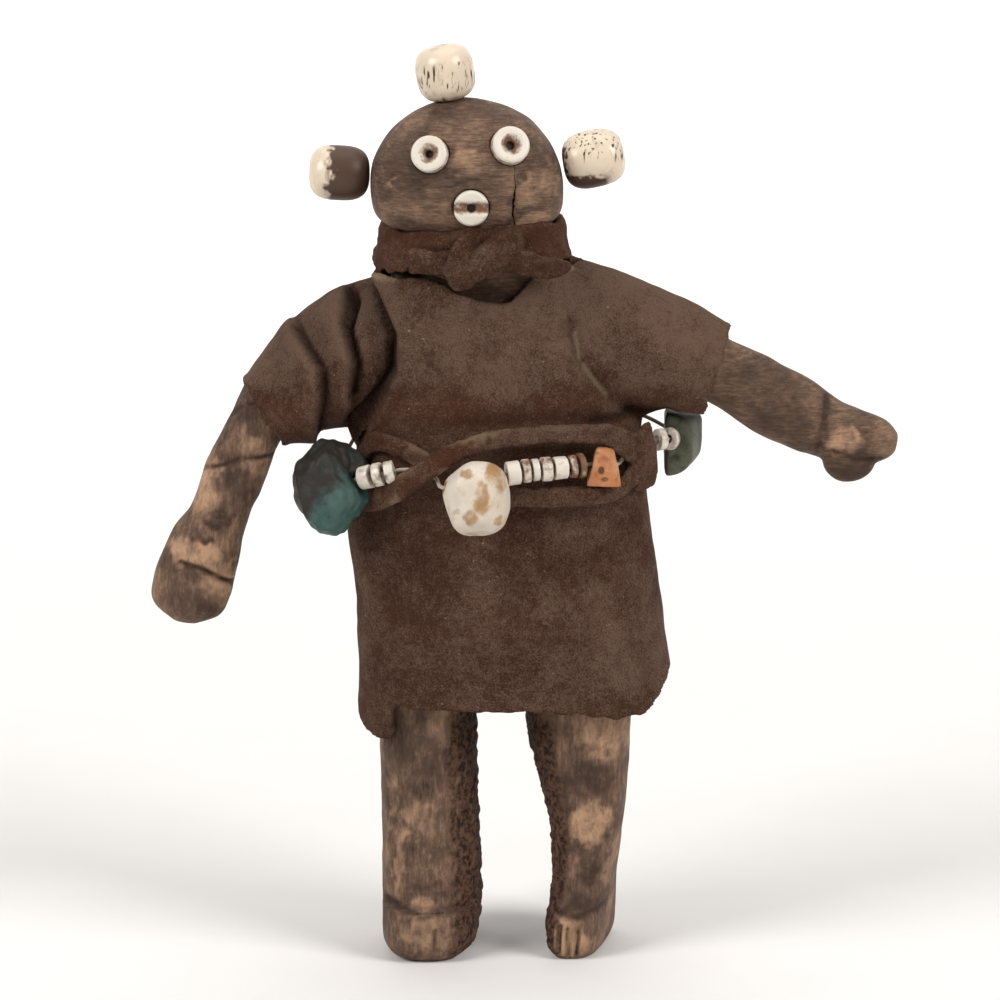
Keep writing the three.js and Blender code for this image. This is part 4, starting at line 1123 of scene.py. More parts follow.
def shell_material():
    """Shell: polished white with brown grime where the mask is strong, and painted shade in the holes."""
    material, tree, shader, vector = material_of("polished_shell")
    grime = add(tree, "ShaderNodeGroup", {"Size": 900.0, "Amount": mask_of(tree, "stain")},
                node_tree=grime_group())
    tree.links.new(vector, grime.inputs["Vector"])
    cloud = noise(tree, vector, 700.0, 4.0, 0.6)
    white = mixed(tree, cloud, colour_of("shell"), colour_of("shell_cloud"))
    colour = mixed(tree, grime.outputs["Mask"], white, colour_of("shell_stain"))
    colour = mixed(tree, mask_of(tree, "hole"), colour, colour_of("shell_hole_shade"))
    tree.links.new(colour, shader.inputs["Base Color"])
    tree.links.new(maths(tree, "MULTIPLY_ADD", grime.outputs["Mask"], 0.3, 0.3), shader.inputs["Roughness"])
    bumped(tree, shader, grime.outputs["Height"], 0.05)
    return material


def stone_material(name, base, other, stain, size, rough):
    """Stone: two colours in clouds, veined and stained where the mask is strong."""
    material, tree, shader, vector = material_of(name)
    grime = add(tree, "ShaderNodeGroup", {"Size": size, "Amount": mask_of(tree, "stain")},
                node_tree=grime_group())
    tree.links.new(vector, grime.inputs["Vector"])
    cloud = between(tree, noise(tree, vector, size * 0.6, 6.0, 0.65), 0.35, 0.65)
    veins = noise(tree, vector, size * 0.9, 8.0, 0.75)
    colour = mixed(tree, cloud, base, other)
    colour = mixed(tree, between(tree, veins, 0.62, 0.72), colour, stain)
    colour = mixed(tree, grime.outputs["Mask"], colour, stain)
    tree.links.new(colour, shader.inputs["Base Color"])
    tree.links.new(maths(tree, "MULTIPLY_ADD", veins, 0.3, rough), shader.inputs["Roughness"])
    shader.inputs["Specular IOR Level"].default_value = 0.3
    bumped(tree, shader, veins, 0.3)
    return material


def thread_material():
    """Thread: grey-tan fibre with fine strands round it."""
    material, tree, shader, vector = material_of("strand_fibre")
    fibre = noise(tree, vector, 3800.0, 3.0, 0.6)
    colour = mixed(tree, fibre, colour_of("thread"), colour_of("thread_light"))
    tree.links.new(colour, shader.inputs["Base Color"])
    shader.inputs["Roughness"].default_value = 0.85
    bumped(tree, shader, fibre, 0.1)
    return material


# Places on the face and round the waist

def head_reach(rise):
    """How far out the head reaches at a share of its height: a round crown, a squarer jaw."""
    square = np.where(rise > 0, 2.0, HEAD["jaw_square"])
    return np.maximum(0.0, 1.0 - np.abs(rise) ** square) ** (1.0 / square)


def face_at(x, z):
    """The Y of the face at places on it: the head's superellipse at their height."""
    rise = (z - HEAD["z"]) / np.where(z > HEAD["z"], HEAD["crown"], HEAD["jaw"])
    reach = head_reach(rise)
    side = np.minimum(FACE_RIM, np.abs((x - HEAD["x"]) / (HEAD["half_width"] * reach)))
    return HEAD["y"] - HEAD["half_depth"] * reach * (1 - side ** HEAD["square"]) ** (1 / HEAD["square"])


def feature_place(feature):
    """The place on the face of one of its shell discs."""
    return np.array([feature["x"], face_at(feature["x"], feature["z"]), feature["z"]])


def facing_at(x, z):
    """The direction out of the face at a place on it, turned part of the way to straight ahead."""
    step = 0.2
    slope_x = (face_at(x + step, z) - face_at(x - step, z)) / (2 * step)
    slope_z = (face_at(x, z + step) - face_at(x, z - step)) / (2 * step)
    return unit(0.65 * unit(np.array([slope_x, -1.0, slope_z])) + 0.35 * AHEAD)


def waist_points(angle, lift, height):
    """Places round the waist: an angle, a lift off the tunic and a height."""
    rows = np.array(TUNIC, float)[::-1]
    x, y, wide, deep = (np.interp(height, rows[:, 0], rows[:, column]) for column in range(1, 5))
    return np.stack([
        x + (wide + lift) * squared(np.sin(angle), OVAL),
        y - (deep + lift) * squared(np.cos(angle), OVAL),
        height], axis=-1)


def strand_path(count):
    """Places evenly along the bead strand's closed route."""
    route = np.array(STRAND_ROUTE, float)
    marks = waist_points(route[:, 0], route[:, 1], route[:, 2])
    fine = spline(marks, np.linspace(0, 1, 2000, endpoint=False), closed=True)
    lengths = np.linalg.norm(np.roll(fine, -1, axis=0) - fine, axis=1)
    along = np.concatenate([[0], np.cumsum(lengths)])
    closed = np.vstack([fine, fine[:1]])
    places = np.linspace(0, along[-1], count, endpoint=False)
    return np.stack([np.interp(places, along, closed[:, axis]) for axis in range(3)], axis=-1)


def thread_tube(radius, count=420, sides=10):
    """A closed tube round the bead strand's route."""
    path = strand_path(count)
    along = unit(np.roll(path, -1, axis=0) - np.roll(path, 1, axis=0))
    side = unit(np.cross(UP, along))
    rise = np.cross(along, side)
    angle = np.linspace(0, 2 * np.pi, sides, endpoint=False)[None, :, None]
    return hoop(path[:, None] + radius * (np.cos(angle) * side[:, None] + np.sin(angle) * rise[:, None]))


def grooved(vertices, normals, grooves):
    """Vertices on the front pushed in along lines, deepest on each line."""
    for groove in grooves:
        distance, _ = line_distance(vertices, groove["line"])
        front = eased(-normals[:, 1], 0.0, 0.3)
        push = groove["deep"] * np.exp(-(distance / groove["half"]) ** 2) * front
        vertices = vertices - normals * push[:, None]
    return vertices


# Pieces

def head_shape():
    """The head: rings whose reach follows the crown and the jaw, a little uneven."""
    rise = np.sin(np.linspace(-np.pi / 2, np.pi / 2, 152)[1:-1])[:, None]
    angle = np.linspace(-np.pi, np.pi, 260, endpoint=False)
    reach = head_reach(rise)
    points = np.stack(np.broadcast_arrays(
        HEAD["x"] + HEAD["half_width"] * reach * squared(np.sin(angle), HEAD["square"]),
        HEAD["y"] - HEAD["half_depth"] * reach * squared(np.cos(angle), HEAD["square"]),
        HEAD["z"] + np.where(rise > 0, HEAD["crown"], HEAD["jaw"]) * rise), axis=-1)
    out = unit(points - np.array([HEAD["x"], HEAD["y"], HEAD["z"]]))
    return tube(points + out * layered(points, HEAD_LUMPS)[..., None])


def leg_shape(rows, inner, seed):
    """A leg: rings from its table, lumpy all over and pitted on its inner side."""
    height = rows[-1][0] + (rows[0][0] - rows[-1][0]) * np.linspace(0, 1, 170)[:, None] ** 1.3
    angle = np.linspace(-np.pi, np.pi, 130, endpoint=False)
    x, y, wide, deep, slant = table_at(rows, height)
    across, front = squared(np.sin(angle), LEG_SQUARE), squared(np.cos(angle), LEG_SQUARE)
    points = np.stack(np.broadcast_arrays(
        x + wide * across + slant * front, y - deep * front, height + 0 * angle), axis=-1)
    out = np.stack(np.broadcast_arrays(across, -front, 0 * height), axis=-1)
    pitted = eased(inner * np.sin(angle), 0.35, 0.85)
    uneven = layered(points, LEG_LUMPS, seed) + pitted * layered(points, LEG_PITS, seed)
    settled = eased(height, 0.2, 2.0)
    return tube(points + out * (uneven * settled)[..., None])


def crack_shape():
    """The crack down the face: a wedge along a line that wanders in sines, thin at its ends."""
    share = np.linspace(0, 1, 40)
    line = even_rows(np.column_stack([HEAD_CRACK, HEAD_CRACK_HALF_WIDTHS]), share)
    wander = 0.06 * np.sin(37 * share) + 0.05 * np.sin(83 * share + 1)
    x, z, half = line[:, 0] + wander, line[:, 1], line[:, 2] * (1 + 0.35 * np.sin(61 * share))
    face = HEAD["y"] - HEAD["half_depth"]
    front, back = face - 2, face + HEAD_CRACK_DEPTH
    corners = [(x - half, front), (x + half, front), (x + 0.3 * half, back), (x - 0.3 * half, back)]
    lines = [np.stack([side, np.full_like(side, depth), z], axis=-1) for side, depth in corners]
    return tube(np.stack(lines, axis=1))


def socket_shape(feature):
    """The socket that a shell disc sits in."""
    facing = facing_at(feature["x"], feature["z"])
    seat = feature_place(feature) - facing * SOCKET_DEPTH
    radius = feature["radius"] + 0.15
    return tube(turned([(radius, 0), (radius, 4)], seat, facing, 48))


def figure_shape():
    """The carved figure: head, body and legs joined, the crack and sockets cut, the toes grooved."""
    top, bottom = BODY[0][0], BODY[-1][0]
    body = tube(standing(BODY, 90, 70, lambda angle: top + 0 * angle, lambda angle: bottom + 0 * angle))
    legs = [leg_shape(LEFT_LEG, 1, LEG_SEEDS["left"]), leg_shape(RIGHT_LEG, -1, LEG_SEEDS["right"])]
    vertices, faces = joined(head_shape(), [body, *legs], "UNION")
    vertices = grooved(vertices, normals_of(vertices, faces), LEG_GROOVES)
    cuts = [crack_shape(), *(socket_shape(feature) for feature in FEATURES.values())]
    return joined((vertices, faces), cuts, "DIFFERENCE")


def antler_masks(vertices, normals, grooves):
    """Where the antler is scraped pale and where it is stained dark, with painted shade along its grooves."""
    front = eased(-normals[:, 1], -0.2, 0.35)
    moved = vertices + layered(vertices, PATCH_WANDER)[:, None] * np.array([1.9, 0.0, 1.5])
    pale = patches(moved, PALE_PATCHES) * front
    dark = patches(moved, DARK_PATCHES)
    # Painted shade: the antler is darkened along its grooves.
    for groove in grooves:
        distance, _ = line_distance(vertices, groove["line"])
        dark = np.maximum(dark, 1.4 * np.exp(-(distance / (0.8 * groove["half"])) ** 2))
    return pale, dark * front


def build_figure():
    """The carved figure with its masks, in antler."""
    vertices, faces = figure_shape()
    normals = normals_of(vertices, faces)
    pale, dark = antler_masks(vertices, normals, LEG_GROOVES)
    side = np.where(vertices[:, 0] < 1.0, 1.0, -1.0)
    inner = eased(side * normals[:, 0], 0.25, 0.7) * eased(PITTED_BELOW - vertices[:, 2], 0.0, 1.0)
    face = face_at(np.clip(vertices[:, 0], *FACE_SPAN), np.clip(vertices[:, 2], *FACE_HEIGHTS))
    distance, _ = line_distance(vertices, HEAD_CRACK)
    crack = eased(0.45 - distance, 0.0, 0.2) * (vertices[:, 1] < HEAD["y"])
    crack = crack * eased(vertices[:, 1] - face, 0.3, 0.8)
    masks = {
        "pale": pale,
        "dark": np.maximum(dark, 0.35 * patches(vertices, [CHEST_PATCH])),
        "core": np.maximum(inner, crack),
        "upright": eased(UPRIGHT_BELOW - vertices[:, 2], 0.0, 1.0),
    }
    return piece("antler_figure", (vertices, faces), antler_material(), ["carved_figure"], masks)


def build_arm(name, shape, grooves, node, material, upright):
    """An arm: lumpy antler with its creases, and its masks."""
    vertices, faces = shape
    normals = normals_of(vertices, faces)
    vertices = grooved(vertices + normals * layered(vertices, ARM_LUMPS)[:, None], normals, grooves)
    pale, dark = antler_masks(vertices, normals, grooves)
    even = np.ones(len(vertices))
    masks = {"pale": pale, "dark": dark, "core": 0.0 * even, "upright": upright * even}
    return piece(name, (vertices, faces), material, [node], masks)


def neck_edge(angle):
    """The height of the tunic's neckline round the neck, scooped in front."""
    away = np.arctan2(np.sin(angle - NECKLINE["scoop_angle"]), np.cos(angle - NECKLINE["scoop_angle"]))
    scoop = NECKLINE["scoop"] * np.exp(-(away / NECKLINE["scoop_spread"]) ** 2)
    return NECKLINE["height"] + NECKLINE["lean"] * np.sin(angle) - scoop


def hem_edge(angle):
    """The height of the tunic's hem at an angle round the body."""
    marks = np.array(HEM, float)
    return np.interp(np.degrees(angle), marks[:, 0], marks[:, 1])


def round_angle(vertices):
    """The angle round the tunic's body at each vertex: 0 in front, positive to +X."""
    x, y, wide, deep, _ = table_at(TUNIC, vertices[:, 2])
    across = (vertices[:, 0] - x) / wide
    front = (y - vertices[:, 1]) / deep
    return np.arctan2(squared(across, 4 / OVAL), squared(front, 4 / OVAL))


def sleeve_way(sleeve):
    """The direction in which a sleeve ends."""
    return unit(np.subtract(sleeve[-1][:3], sleeve[-2][:3]))


def sleeve_room(vertices, sleeve):
    """How far a vertex lies inside a sleeve's end, along the sleeve."""
    return (np.array(sleeve[-1][:3]) - vertices) @ sleeve_way(sleeve)


def tunic_room(vertices):
    """How far each vertex lies inside the nearest edge of the tunic, and the way out across that edge."""
    angle = round_angle(vertices)
    x, height = vertices[:, 0], vertices[:, 2]
    ragged = layered(vertices, RAGGED_EDGE)
    far = np.full(len(vertices), 99.0)
    hem = np.where(height < CUTS["hem_below"], height - hem_edge(angle) - ragged, far)
    near_neck = (height > CUTS["neck_above"]) & (np.abs(x - CUTS["neck_x"]) < CUTS["neck_half"])
    neck = np.where(near_neck, neck_edge(angle) - height - ragged, far)
    high = height > CUTS["sleeves_above"]
    left = np.where(high & (x < CUTS["left_sleeve"]), sleeve_room(vertices, LEFT_SLEEVE) - ragged, far)
    right = np.where(high & (x > CUTS["right_sleeve"]), sleeve_room(vertices, RIGHT_SLEEVE) - ragged, far)
    rooms = np.stack([hem, neck, left, right], axis=-1)
    ways = np.array([-UP, UP, sleeve_way(LEFT_SLEEVE), sleeve_way(RIGHT_SLEEVE)])
    nearest = np.argmin(rooms, axis=1)
    return rooms[np.arange(len(rooms)), nearest], ways[nearest]


def trimmed(vertices, faces):
    """The tunic's skin cut at its edges: faces outside are dropped, and the rim is drawn onto the edge."""
    room, way = tunic_room(vertices)
    kept = [group[(room[group] > 0).all(axis=1)] for group in faces]
    corners = np.concatenate([group.ravel() for group in kept])
    used = np.unique(corners)
    number = np.full(len(vertices), -1)
    number[used] = np.arange(len(used))
    kept = [number[group] for group in kept]
    pairs = corner_pairs(kept)
    _, which, count = np.unique(np.sort(pairs, axis=1), axis=0, return_inverse=True, return_counts=True)
    rim = np.unique(pairs[count[which.ravel()] == 1])
    vertices = vertices[used]
    vertices[rim] += way[used][rim] * np.clip(room[used][rim], 0, 1.2)[:, None]
    return vertices, kept


def folded(vertices, normals):
    """Folds of the tunic's front: creases pushed in, and the hide beside them stepped."""
    front = eased(-normals[:, 1], -0.3, 0.3)
    move = np.zeros(len(vertices))
    for fold in FOLDS:
        distance, side = line_distance(vertices, fold["line"])
        crease = np.exp(-(distance / fold["half"]) ** 2)
        step = fold["step"] * side * eased(distance, 0.0, 0.5) * np.exp(-(distance / fold["reach"]) ** 2)
        move += (step - fold["deep"] * crease) * front
    return vertices + normals * move[:, None]


def tunic_shape():
    """The tunic's outside: body and sleeves skinned together, softened, folded and cut at its edges."""
    body = tube(standing(
        TUNIC, 120, 120, lambda angle: neck_edge(angle) + EDGE_PAST, lambda angle: TUNIC_BASE + 0 * angle))
    sleeves = [tube(limb(sleeve, 90, 60, EDGE_PAST)) for sleeve in (LEFT_SLEEVE, RIGHT_SLEEVE)]
    vertices, faces = skinned([body, *sleeves], bpy.context.scene.doll_sizes.hide_mesh / MM)
    vertices = relaxed(vertices, faces, 14)
    normals = normals_of(vertices, faces)
    vertices = folded(vertices + normals * layered(vertices, TUNIC_WAVES)[:, None], normals)
    return trimmed(vertices, faces)


def tunic_masks(vertices, faces):
    """Where the tunic is worn and where it is painted light, smooth, dark with painted shade in its folds and
    hollows, and slashed through its nap.
    """
    normals = normals_of(vertices, faces)
    x, height = vertices[:, 0], vertices[:, 2]
    front = eased(-normals[:, 1], -0.2, 0.4)
    proud = proudness(vertices, faces, normals, 12)
    # Painted shade: hollows and the creases of the folds are darkened.
    deep = eased(-proud, 0.08, 0.5)
    for fold in FOLDS:
        distance, _ = line_distance(vertices, fold["line"])
        crease = np.exp(-(distance / (0.7 * fold["half"])) ** 2)
        deep = np.maximum(deep, min(1.0, fold["deep"]) * crease * front)
    angle = round_angle(vertices)
    rim = eased(0.85 - np.abs(neck_edge(angle) - height), 0.0, 0.3)
    left = eased(0.3 - np.abs(angle + 1.08), 0.0, 0.05)
    right = eased(0.14 - np.abs(angle - 1.2), 0.0, 0.05)
    slash = rim * (left + right)
    for line in SLASHES:
        distance, _ = line_distance(vertices, line)
        slash = np.maximum(slash, 0.8 * eased(0.5 - distance, 0.0, 0.45) * front)
    band = eased(WEAR["chest"] - height, 0.0, 5.0) * eased(height - WEAR["belt"], 0.0, 8.0)
    low = eased(WEAR["hem"] - height, 0.0, 6.0)
    smooth = band + 0.5 * low + 0.5 * lumps(vertices, 9.0, 81)
    skirt = eased(WEAR["skirt"] - height, 0.0, 4.0)
    dull = np.maximum(band, 0.5 * eased(height - WEAR["lap"], 0.0, 10.0) * skirt)
    sided = skirt * (0.5 * eased(x, 4.0, 16.0) - 0.62)
    # Painted light: the nap is greyer where the hide faces up; the proud term makes ridges lighter, partly as
    # rubbed wear, and hollows darker as shade.
    up = eased(normals[:, 2], -0.1, 0.6)
    worn = 0.3 + 0.35 * up + sided + 0.35 * lumps(vertices, 10.0, 82) - 0.75 * dull - 0.3 * low
    worn = np.clip(worn, 0, 1) + 0.1 + 0.9 * np.clip(proud, -0.3, 0.5)
    return {"worn": worn, "smooth": smooth, "deep": deep, "slash": slash}


def build_tunic():
    """The hide tunic: a sheet as thick as the hide, with its worn, smooth and dark places, the dark ones
    painted shade and part of the worn ones painted light.
    """
    vertices, faces = tunic_shape()
    vertices = relaxed(vertices, faces, 1, 0.3)
    masks = tunic_masks(vertices, faces)
    material = hide_material("tunic_hide", 0.0, 0.1)
    tunic = piece("hide_tunic", (vertices, faces), material, ["tunic"], masks)
    wall = tunic.modifiers.new("Hide", "SOLIDIFY")
    wall.thickness = bpy.context.scene.doll_sizes.hide_thickness
    wall.offset = -1.0
    wall.use_quality_normals = True
    return tunic


def strip_tube(centre, across, through, width, thick):
    """A strip of hide: rounded-square rings across a path, with a rounded end at each end."""
    angle = np.linspace(0, 2 * np.pi, 28, endpoint=False)[None, :, None]
    out = squared(np.cos(angle), STRIP_SQUARE) * (width / 2)[:, None, None]
    proud = squared(np.sin(angle), STRIP_SQUARE) * (thick / 2)[:, None, None]
    return tube(centre[:, None] + out * across[:, None] + proud * through[:, None])


def scarf_strip(rows):
    """A strip of the scarf's knot along its rows."""
    path = spline(rows, np.linspace(0, 1, 60))
    along = unit(np.gradient(path[:, :3], axis=0))
    front = unit(AHEAD - along * (along @ AHEAD)[:, None] + 1e-6)
    return strip_tube(path[:, :3], np.cross(along, front), front, path[:, 3], path[:, 4])


def scarf_band():
    """The scarf's band: a flaring ring round the neck with a wavy upper and a ragged lower edge."""
    band = SCARF_BAND
    angle = np.linspace(-np.pi, np.pi, 260, endpoint=False)[:, None]
    ring = np.linspace(0, 2 * np.pi, 40, endpoint=False)
    out = squared(np.cos(ring), SCARF_SQUARE) * band["thick"] / 2
    low = (1 - squared(np.sin(ring), SCARF_SQUARE)) / 2
    ragged = 0.45 * np.sin(7 * angle) + 0.35 * np.sin(11 * angle + 1) + 0.3 * np.sin(23 * angle + 2)
    upper = band["top"] + 0.4 * np.sin(3 * angle + 0.6) + 0.2 * np.sin(9 * angle)
    swell = out + band["flare"] * low + 0.35 * np.sin(np.pi * 2.2 * low + 2.0 * np.sin(2 * angle))
    height = upper + (band["bottom"] + ragged - upper) * low + band["lean"] * np.sin(angle)
    return hoop(np.stack(np.broadcast_arrays(
        band["x"] + (band["half_width"] + swell) * squared(np.sin(angle), OVAL),
        band["y"] - (band["half_depth"] + swell) * squared(np.cos(angle), OVAL),
        height), axis=-1))


def build_scarf():
    """The neck scarf: its band and the strips of its knot, skinned together and wrinkled."""
    shapes = [scarf_band(), *(scarf_strip(rows) for rows in SCARF_STRIPS.values())]
    vertices, faces = skinned(shapes, bpy.context.scene.doll_sizes.strip_mesh / MM)
    vertices = relaxed(vertices, faces, 4)
    normals = normals_of(vertices, faces)
    flat = vertices * np.array([0.35, 0.35, 1.0])
    uneven = layered(flat, SCARF_WRINKLES) + layered(vertices, SCARF_LUMPS)
    vertices = vertices + normals * uneven[:, None]
    knot = eased(-vertices[:, 1] - 12.4, 0.0, 1.0)
    proud = proudness(vertices, faces, normals, 10)
    # Painted light and shade: the knot's proud ridges are greyed as a highlight and its hollows darkened as
    # shade.
    masks = {
        "worn": 0.06 * knot + 1.6 * np.maximum(proud, 0),
        "smooth": 0.9 - 0.7 * knot,
        "deep": eased(-proud, 0.02, 0.3),
        "slash": np.zeros(len(vertices)),
    }
    material = hide_material("scarf_hide", -0.04, 0.0)
    return piece("hide_scarf", (vertices, faces), material, ["neck_scarf"], masks)


def belt_strip(rows, steps):
    """A strand of the belt: a rounded strip that follows the waist at its lift and height."""
    path = even_rows(rows, np.linspace(0, 1, steps))
    angle, height, width, lift, thick = path.T
    centre = waist_points(angle, lift, height)
    out = unit(waist_points(angle, lift + 1.0, height) - centre)
    along = unit(np.gradient(centre, axis=0))
    across = unit(np.cross(out, along))
    return strip_tube(centre, across, out, width, thick)


def build_belt():
    """The belt: a band round the back, slit in front into two strands that cross and end in a flap."""
    shapes = [belt_strip(BELT_BAND, 160), belt_strip(OVER_STRAND, 140), belt_strip(UNDER_STRAND, 140),
              belt_strip(BELT_FLAP, 40)]
    vertices, faces = skinned(shapes, bpy.context.scene.doll_sizes.strip_mesh / MM)
    vertices = relaxed(vertices, faces, 4)
    normals = normals_of(vertices, faces)
    vertices = vertices + normals * layered(vertices, BELT_LUMPS)[:, None]
    over = eased(vertices[:, 0] + 6.0, 0.0, 6.0) * eased(-vertices[:, 1] - 8.0, 0.0, 4.0)
    proud = proudness(vertices, faces, normals, 10)
    rubbed = eased(lumps(vertices, 2.4, 103), 0.1, 0.7) * eased(2.0 - vertices[:, 0], 0.0, 4.0)
    front = eased(-vertices[:, 1] - 10.0, 0.0, 3.0)
    # Painted light and shade: proud ridges are greyed as a highlight and hollows darkened as shade; the over
    # strand's grey and the rubbed raw hide are wear.
    masks = {
        "worn": 0.32 * over + 1.2 * np.maximum(proud, 0),
        "smooth": 0.8 - 0.6 * over,
        "deep": eased(-proud, 0.03, 0.35),
        "slash": 0.55 * rubbed * front * eased(proud, -0.05, 0.1),
    }
    material = hide_material("belt_hide", -0.02, 0.1)
    return piece("hide_belt", (vertices, faces), material, ["belt"], masks)


def barrel_shape(bead):
    """A barrel bead: a superellipse profile round its axis, with a blind hole in its outer end."""
    share = np.sin(np.linspace(-np.pi / 2, np.pi / 2, 72))
    radius = bead["radius"] * (1 - np.abs(share) ** BARREL_SQUARE) ** (1 / BARREL_SQUARE)
    outside = np.column_stack([radius, share * bead["half_length"]])
    outside = outside[(share < 0) | (radius > BARREL_HOLE["radius"])]
    mouth = bead["half_length"] * (1 - (BARREL_HOLE["radius"] / bead["radius"]) ** BARREL_SQUARE) ** (
        1 / BARREL_SQUARE)
    floor = mouth - BARREL_HOLE["deep"]
    hole = np.array([(BARREL_HOLE["radius"], mouth), (BARREL_HOLE["radius"], floor), (0.2, floor)])
    profile = np.vstack([[(0.2, -bead["half_length"])], outside[1:], hole])
    return tube(turned(profile, bead["at"], bead["axis"], 96))


def build_barrel_bead(name, material):
    """A bone bead with its stained end, its grain marks and a slightly uneven surface."""
    bead = BARREL_BEADS[name]
    vertices, faces = barrel_shape(bead)
    axis = unit(np.array(bead["axis"], float))
    away = vertices - np.array(bead["at"])
    along = away @ axis / bead["half_length"]
    vertices = vertices + unit(away) * layered(vertices, BEAD_LUMPS)[:, None]
    wander = layered(vertices, BEAD_WANDER)
    if name == "left_ear_bead":
        stain = eased(0.5 - along + wander, 0.0, 0.4)
        marks = eased(0.6 - along, 0.0, 0.3) * 0.6
    elif name == "right_ear_bead":
        under = eased(-away[:, 2] - 1.2 + 4 * wander, 0.0, 1.4) * eased(0.6 - along, 0.0, 0.6)
        stain = np.maximum(under, eased(-0.72 - along + wander, 0.0, 0.2))
        marks = eased(away[:, 2], -0.5, 1.0)
    else:
        stain = eased(-0.82 - along + wander, 0.0, 0.2) * 0.7
        marks = eased(along + 0.75, 0.0, 0.3) * eased(0.55 - along, 0.0, 0.3)
    masks = {"stain": 0.16 + 0.84 * stain, "marks": marks}
    return piece(f"bone_{name}", (vertices, faces), material, [name], masks)


def face_disc(name, material):
    """A shell disc in the face: a thick rim, a coned dish and a hole. The mouth has a groove across it."""
    feature = FEATURES[name]
    radius, thick, dish, hole = (feature[key] for key in ("radius", "thick", "dish", "hole"))
    facing = facing_at(feature["x"], feature["z"])
    seat = feature_place(feature) + facing * (GAP - SOCKET_DEPTH)
    floor = thick * 0.25
    profile = rounded([(0.1, 0), (radius, 0), (radius, thick * 0.8), (radius * 0.9, thick), (dish, thick),
                       (hole, thick * 0.55), (hole, floor), (0.1, floor)], 0.3, 6)
    rows = np.vstack([even_rows(pair, np.linspace(0, 1, 5, endpoint=False))
                      for pair in zip(profile[:-1], profile[1:])])
    vertices, faces = tube(turned(rows, seat, facing, 96))
    away = vertices - seat
    height = away @ facing
    flat = away - height[:, None] * facing
    reach = np.linalg.norm(flat, axis=1)
    top = eased(height, thick * 0.5, thick * 0.7)
    cone = np.clip((dish + 0.15 - reach) / (dish + 0.15 - hole), 0.0, 1.0)
    # Brown grime over the dish and on the rim's side; towards the hole the dish darkens further as painted
    # shade.
    stain = 0.25 * eased(cone, 0.0, 0.15) + 0.6 * cone + 0.4 * eased(reach - radius + 0.12, 0.0, 0.1)
    # Painted shade: the hole is painted near-black.
    dark = eased(hole + 0.1 - reach, 0.0, 0.15)
    if name == "mouth":
        band = eased(MOUTH_GROOVE["half"] - np.abs(flat[:, 2] - 0.1), -0.35, 0.55)
        vertices = vertices - facing * (MOUTH_GROOVE["deep"] * band * top)[:, None]
        stain = 0.75 * band
    masks = {"stain": 0.12 + 0.88 * stain, "hole": dark}
    return piece(f"shell_{name}", (vertices, faces), material, [name], masks)


def stone_shape(stone):
    """A stone: in each direction it reaches the rounded meeting of its planes. The reach is
    (sum of (direction . normal / distance) ^ round) ^ (-1 / round), over the planes it faces."""
    way = ball((0, 0, 0), (1, 1, 1), 120, 84)
    total = np.zeros(way.shape[:-1])
    for normal, distance in stone["planes"]:
        facing = np.maximum(way @ unit(np.array(normal, float)), 0.0)
        total += (facing / distance) ** stone["round"]
    reach = total ** (-1.0 / stone["round"])
    points = way * reach[..., None]
    rough = stone["rough"] * layered(points, STONE_LUMPS)
    return tube(points + way * rough[..., None] + np.array(stone["at"]))


def build_stone(name, material):
    """A drilled stone of the strand, with its stained places."""
    stone = STONES[name]
    vertices, faces = joined(stone_shape(stone), [thread_tube(BORE_RADIUS)], "DIFFERENCE")
    away = vertices - np.array(stone["at"])
    if name == "blue_green_stone":
        along = away @ unit(np.array(TEAL_WAY))
        teal = eased(along + 1.2 * lumps(vertices, 2.2, 133), -1.0, 4.2)
        stain = 0.8 - 0.6 * teal
    elif name == "pale_stone":
        moved = away + 0.35 * lumps(vertices, 0.8, 131)[:, None]
        stain = 0.2 + 0.5 * patches(moved, PALE_STONE_SPOTS)
    elif name == "orange_shell":
        stain = 0.2 + 0.6 * patches(away, ORANGE_SHELL_SPOTS)
    else:
        stain = 0.3 + 0.3 * lumps(vertices, 1.6, 132)
    path = strand_path(1200)
    path = path[np.linalg.norm(path - np.array(stone["at"]), axis=1) < 12.0]
    bore = np.linalg.norm(vertices[:, None] - path[None], axis=2).min(axis=1)
    masks = {"stain": np.maximum(stain, eased(1.3 - bore, 0.0, 0.5))}
    return piece(f"drilled_{name}", (vertices, faces), material, [name], masks)


def build_disc(node, thick, grime, path, material, seed):
    """A ring bead on the strand, a little worn and off round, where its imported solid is."""
    low, high = (np.array(corner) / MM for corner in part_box(node))
    centre = (low + high) / 2 - SHIFT
    nearest = np.argmin(np.linalg.norm(path - centre, axis=1))
    axis = unit(path[(nearest + 3) % len(path)] - path[nearest - 3])
    half = thick / 2
    outer = DISC_RADIUS * (1 + 0.05 * np.sin(seed * 2.3))
    corners = [(DISC_HOLE, half), (outer, half), (outer, -half), (DISC_HOLE, -half), (DISC_HOLE, half)]
    profile = rounded(corners, 0.22, 5)[1:]
    vertices, faces = hoop(turned(profile, centre, axis, 44))
    away = unit(vertices - centre)
    vertices = vertices + away * (0.1 * lumps(vertices, 1.3, 140 + seed))[:, None]
    stain = np.clip(grime + 0.3 * lumps(vertices, 1.0, 160 + seed), 0, 1)
    masks = {"stain": stain, "hole": np.zeros(len(vertices))}
    return piece(f"shell_{node}", (vertices, faces), material, [node], masks)


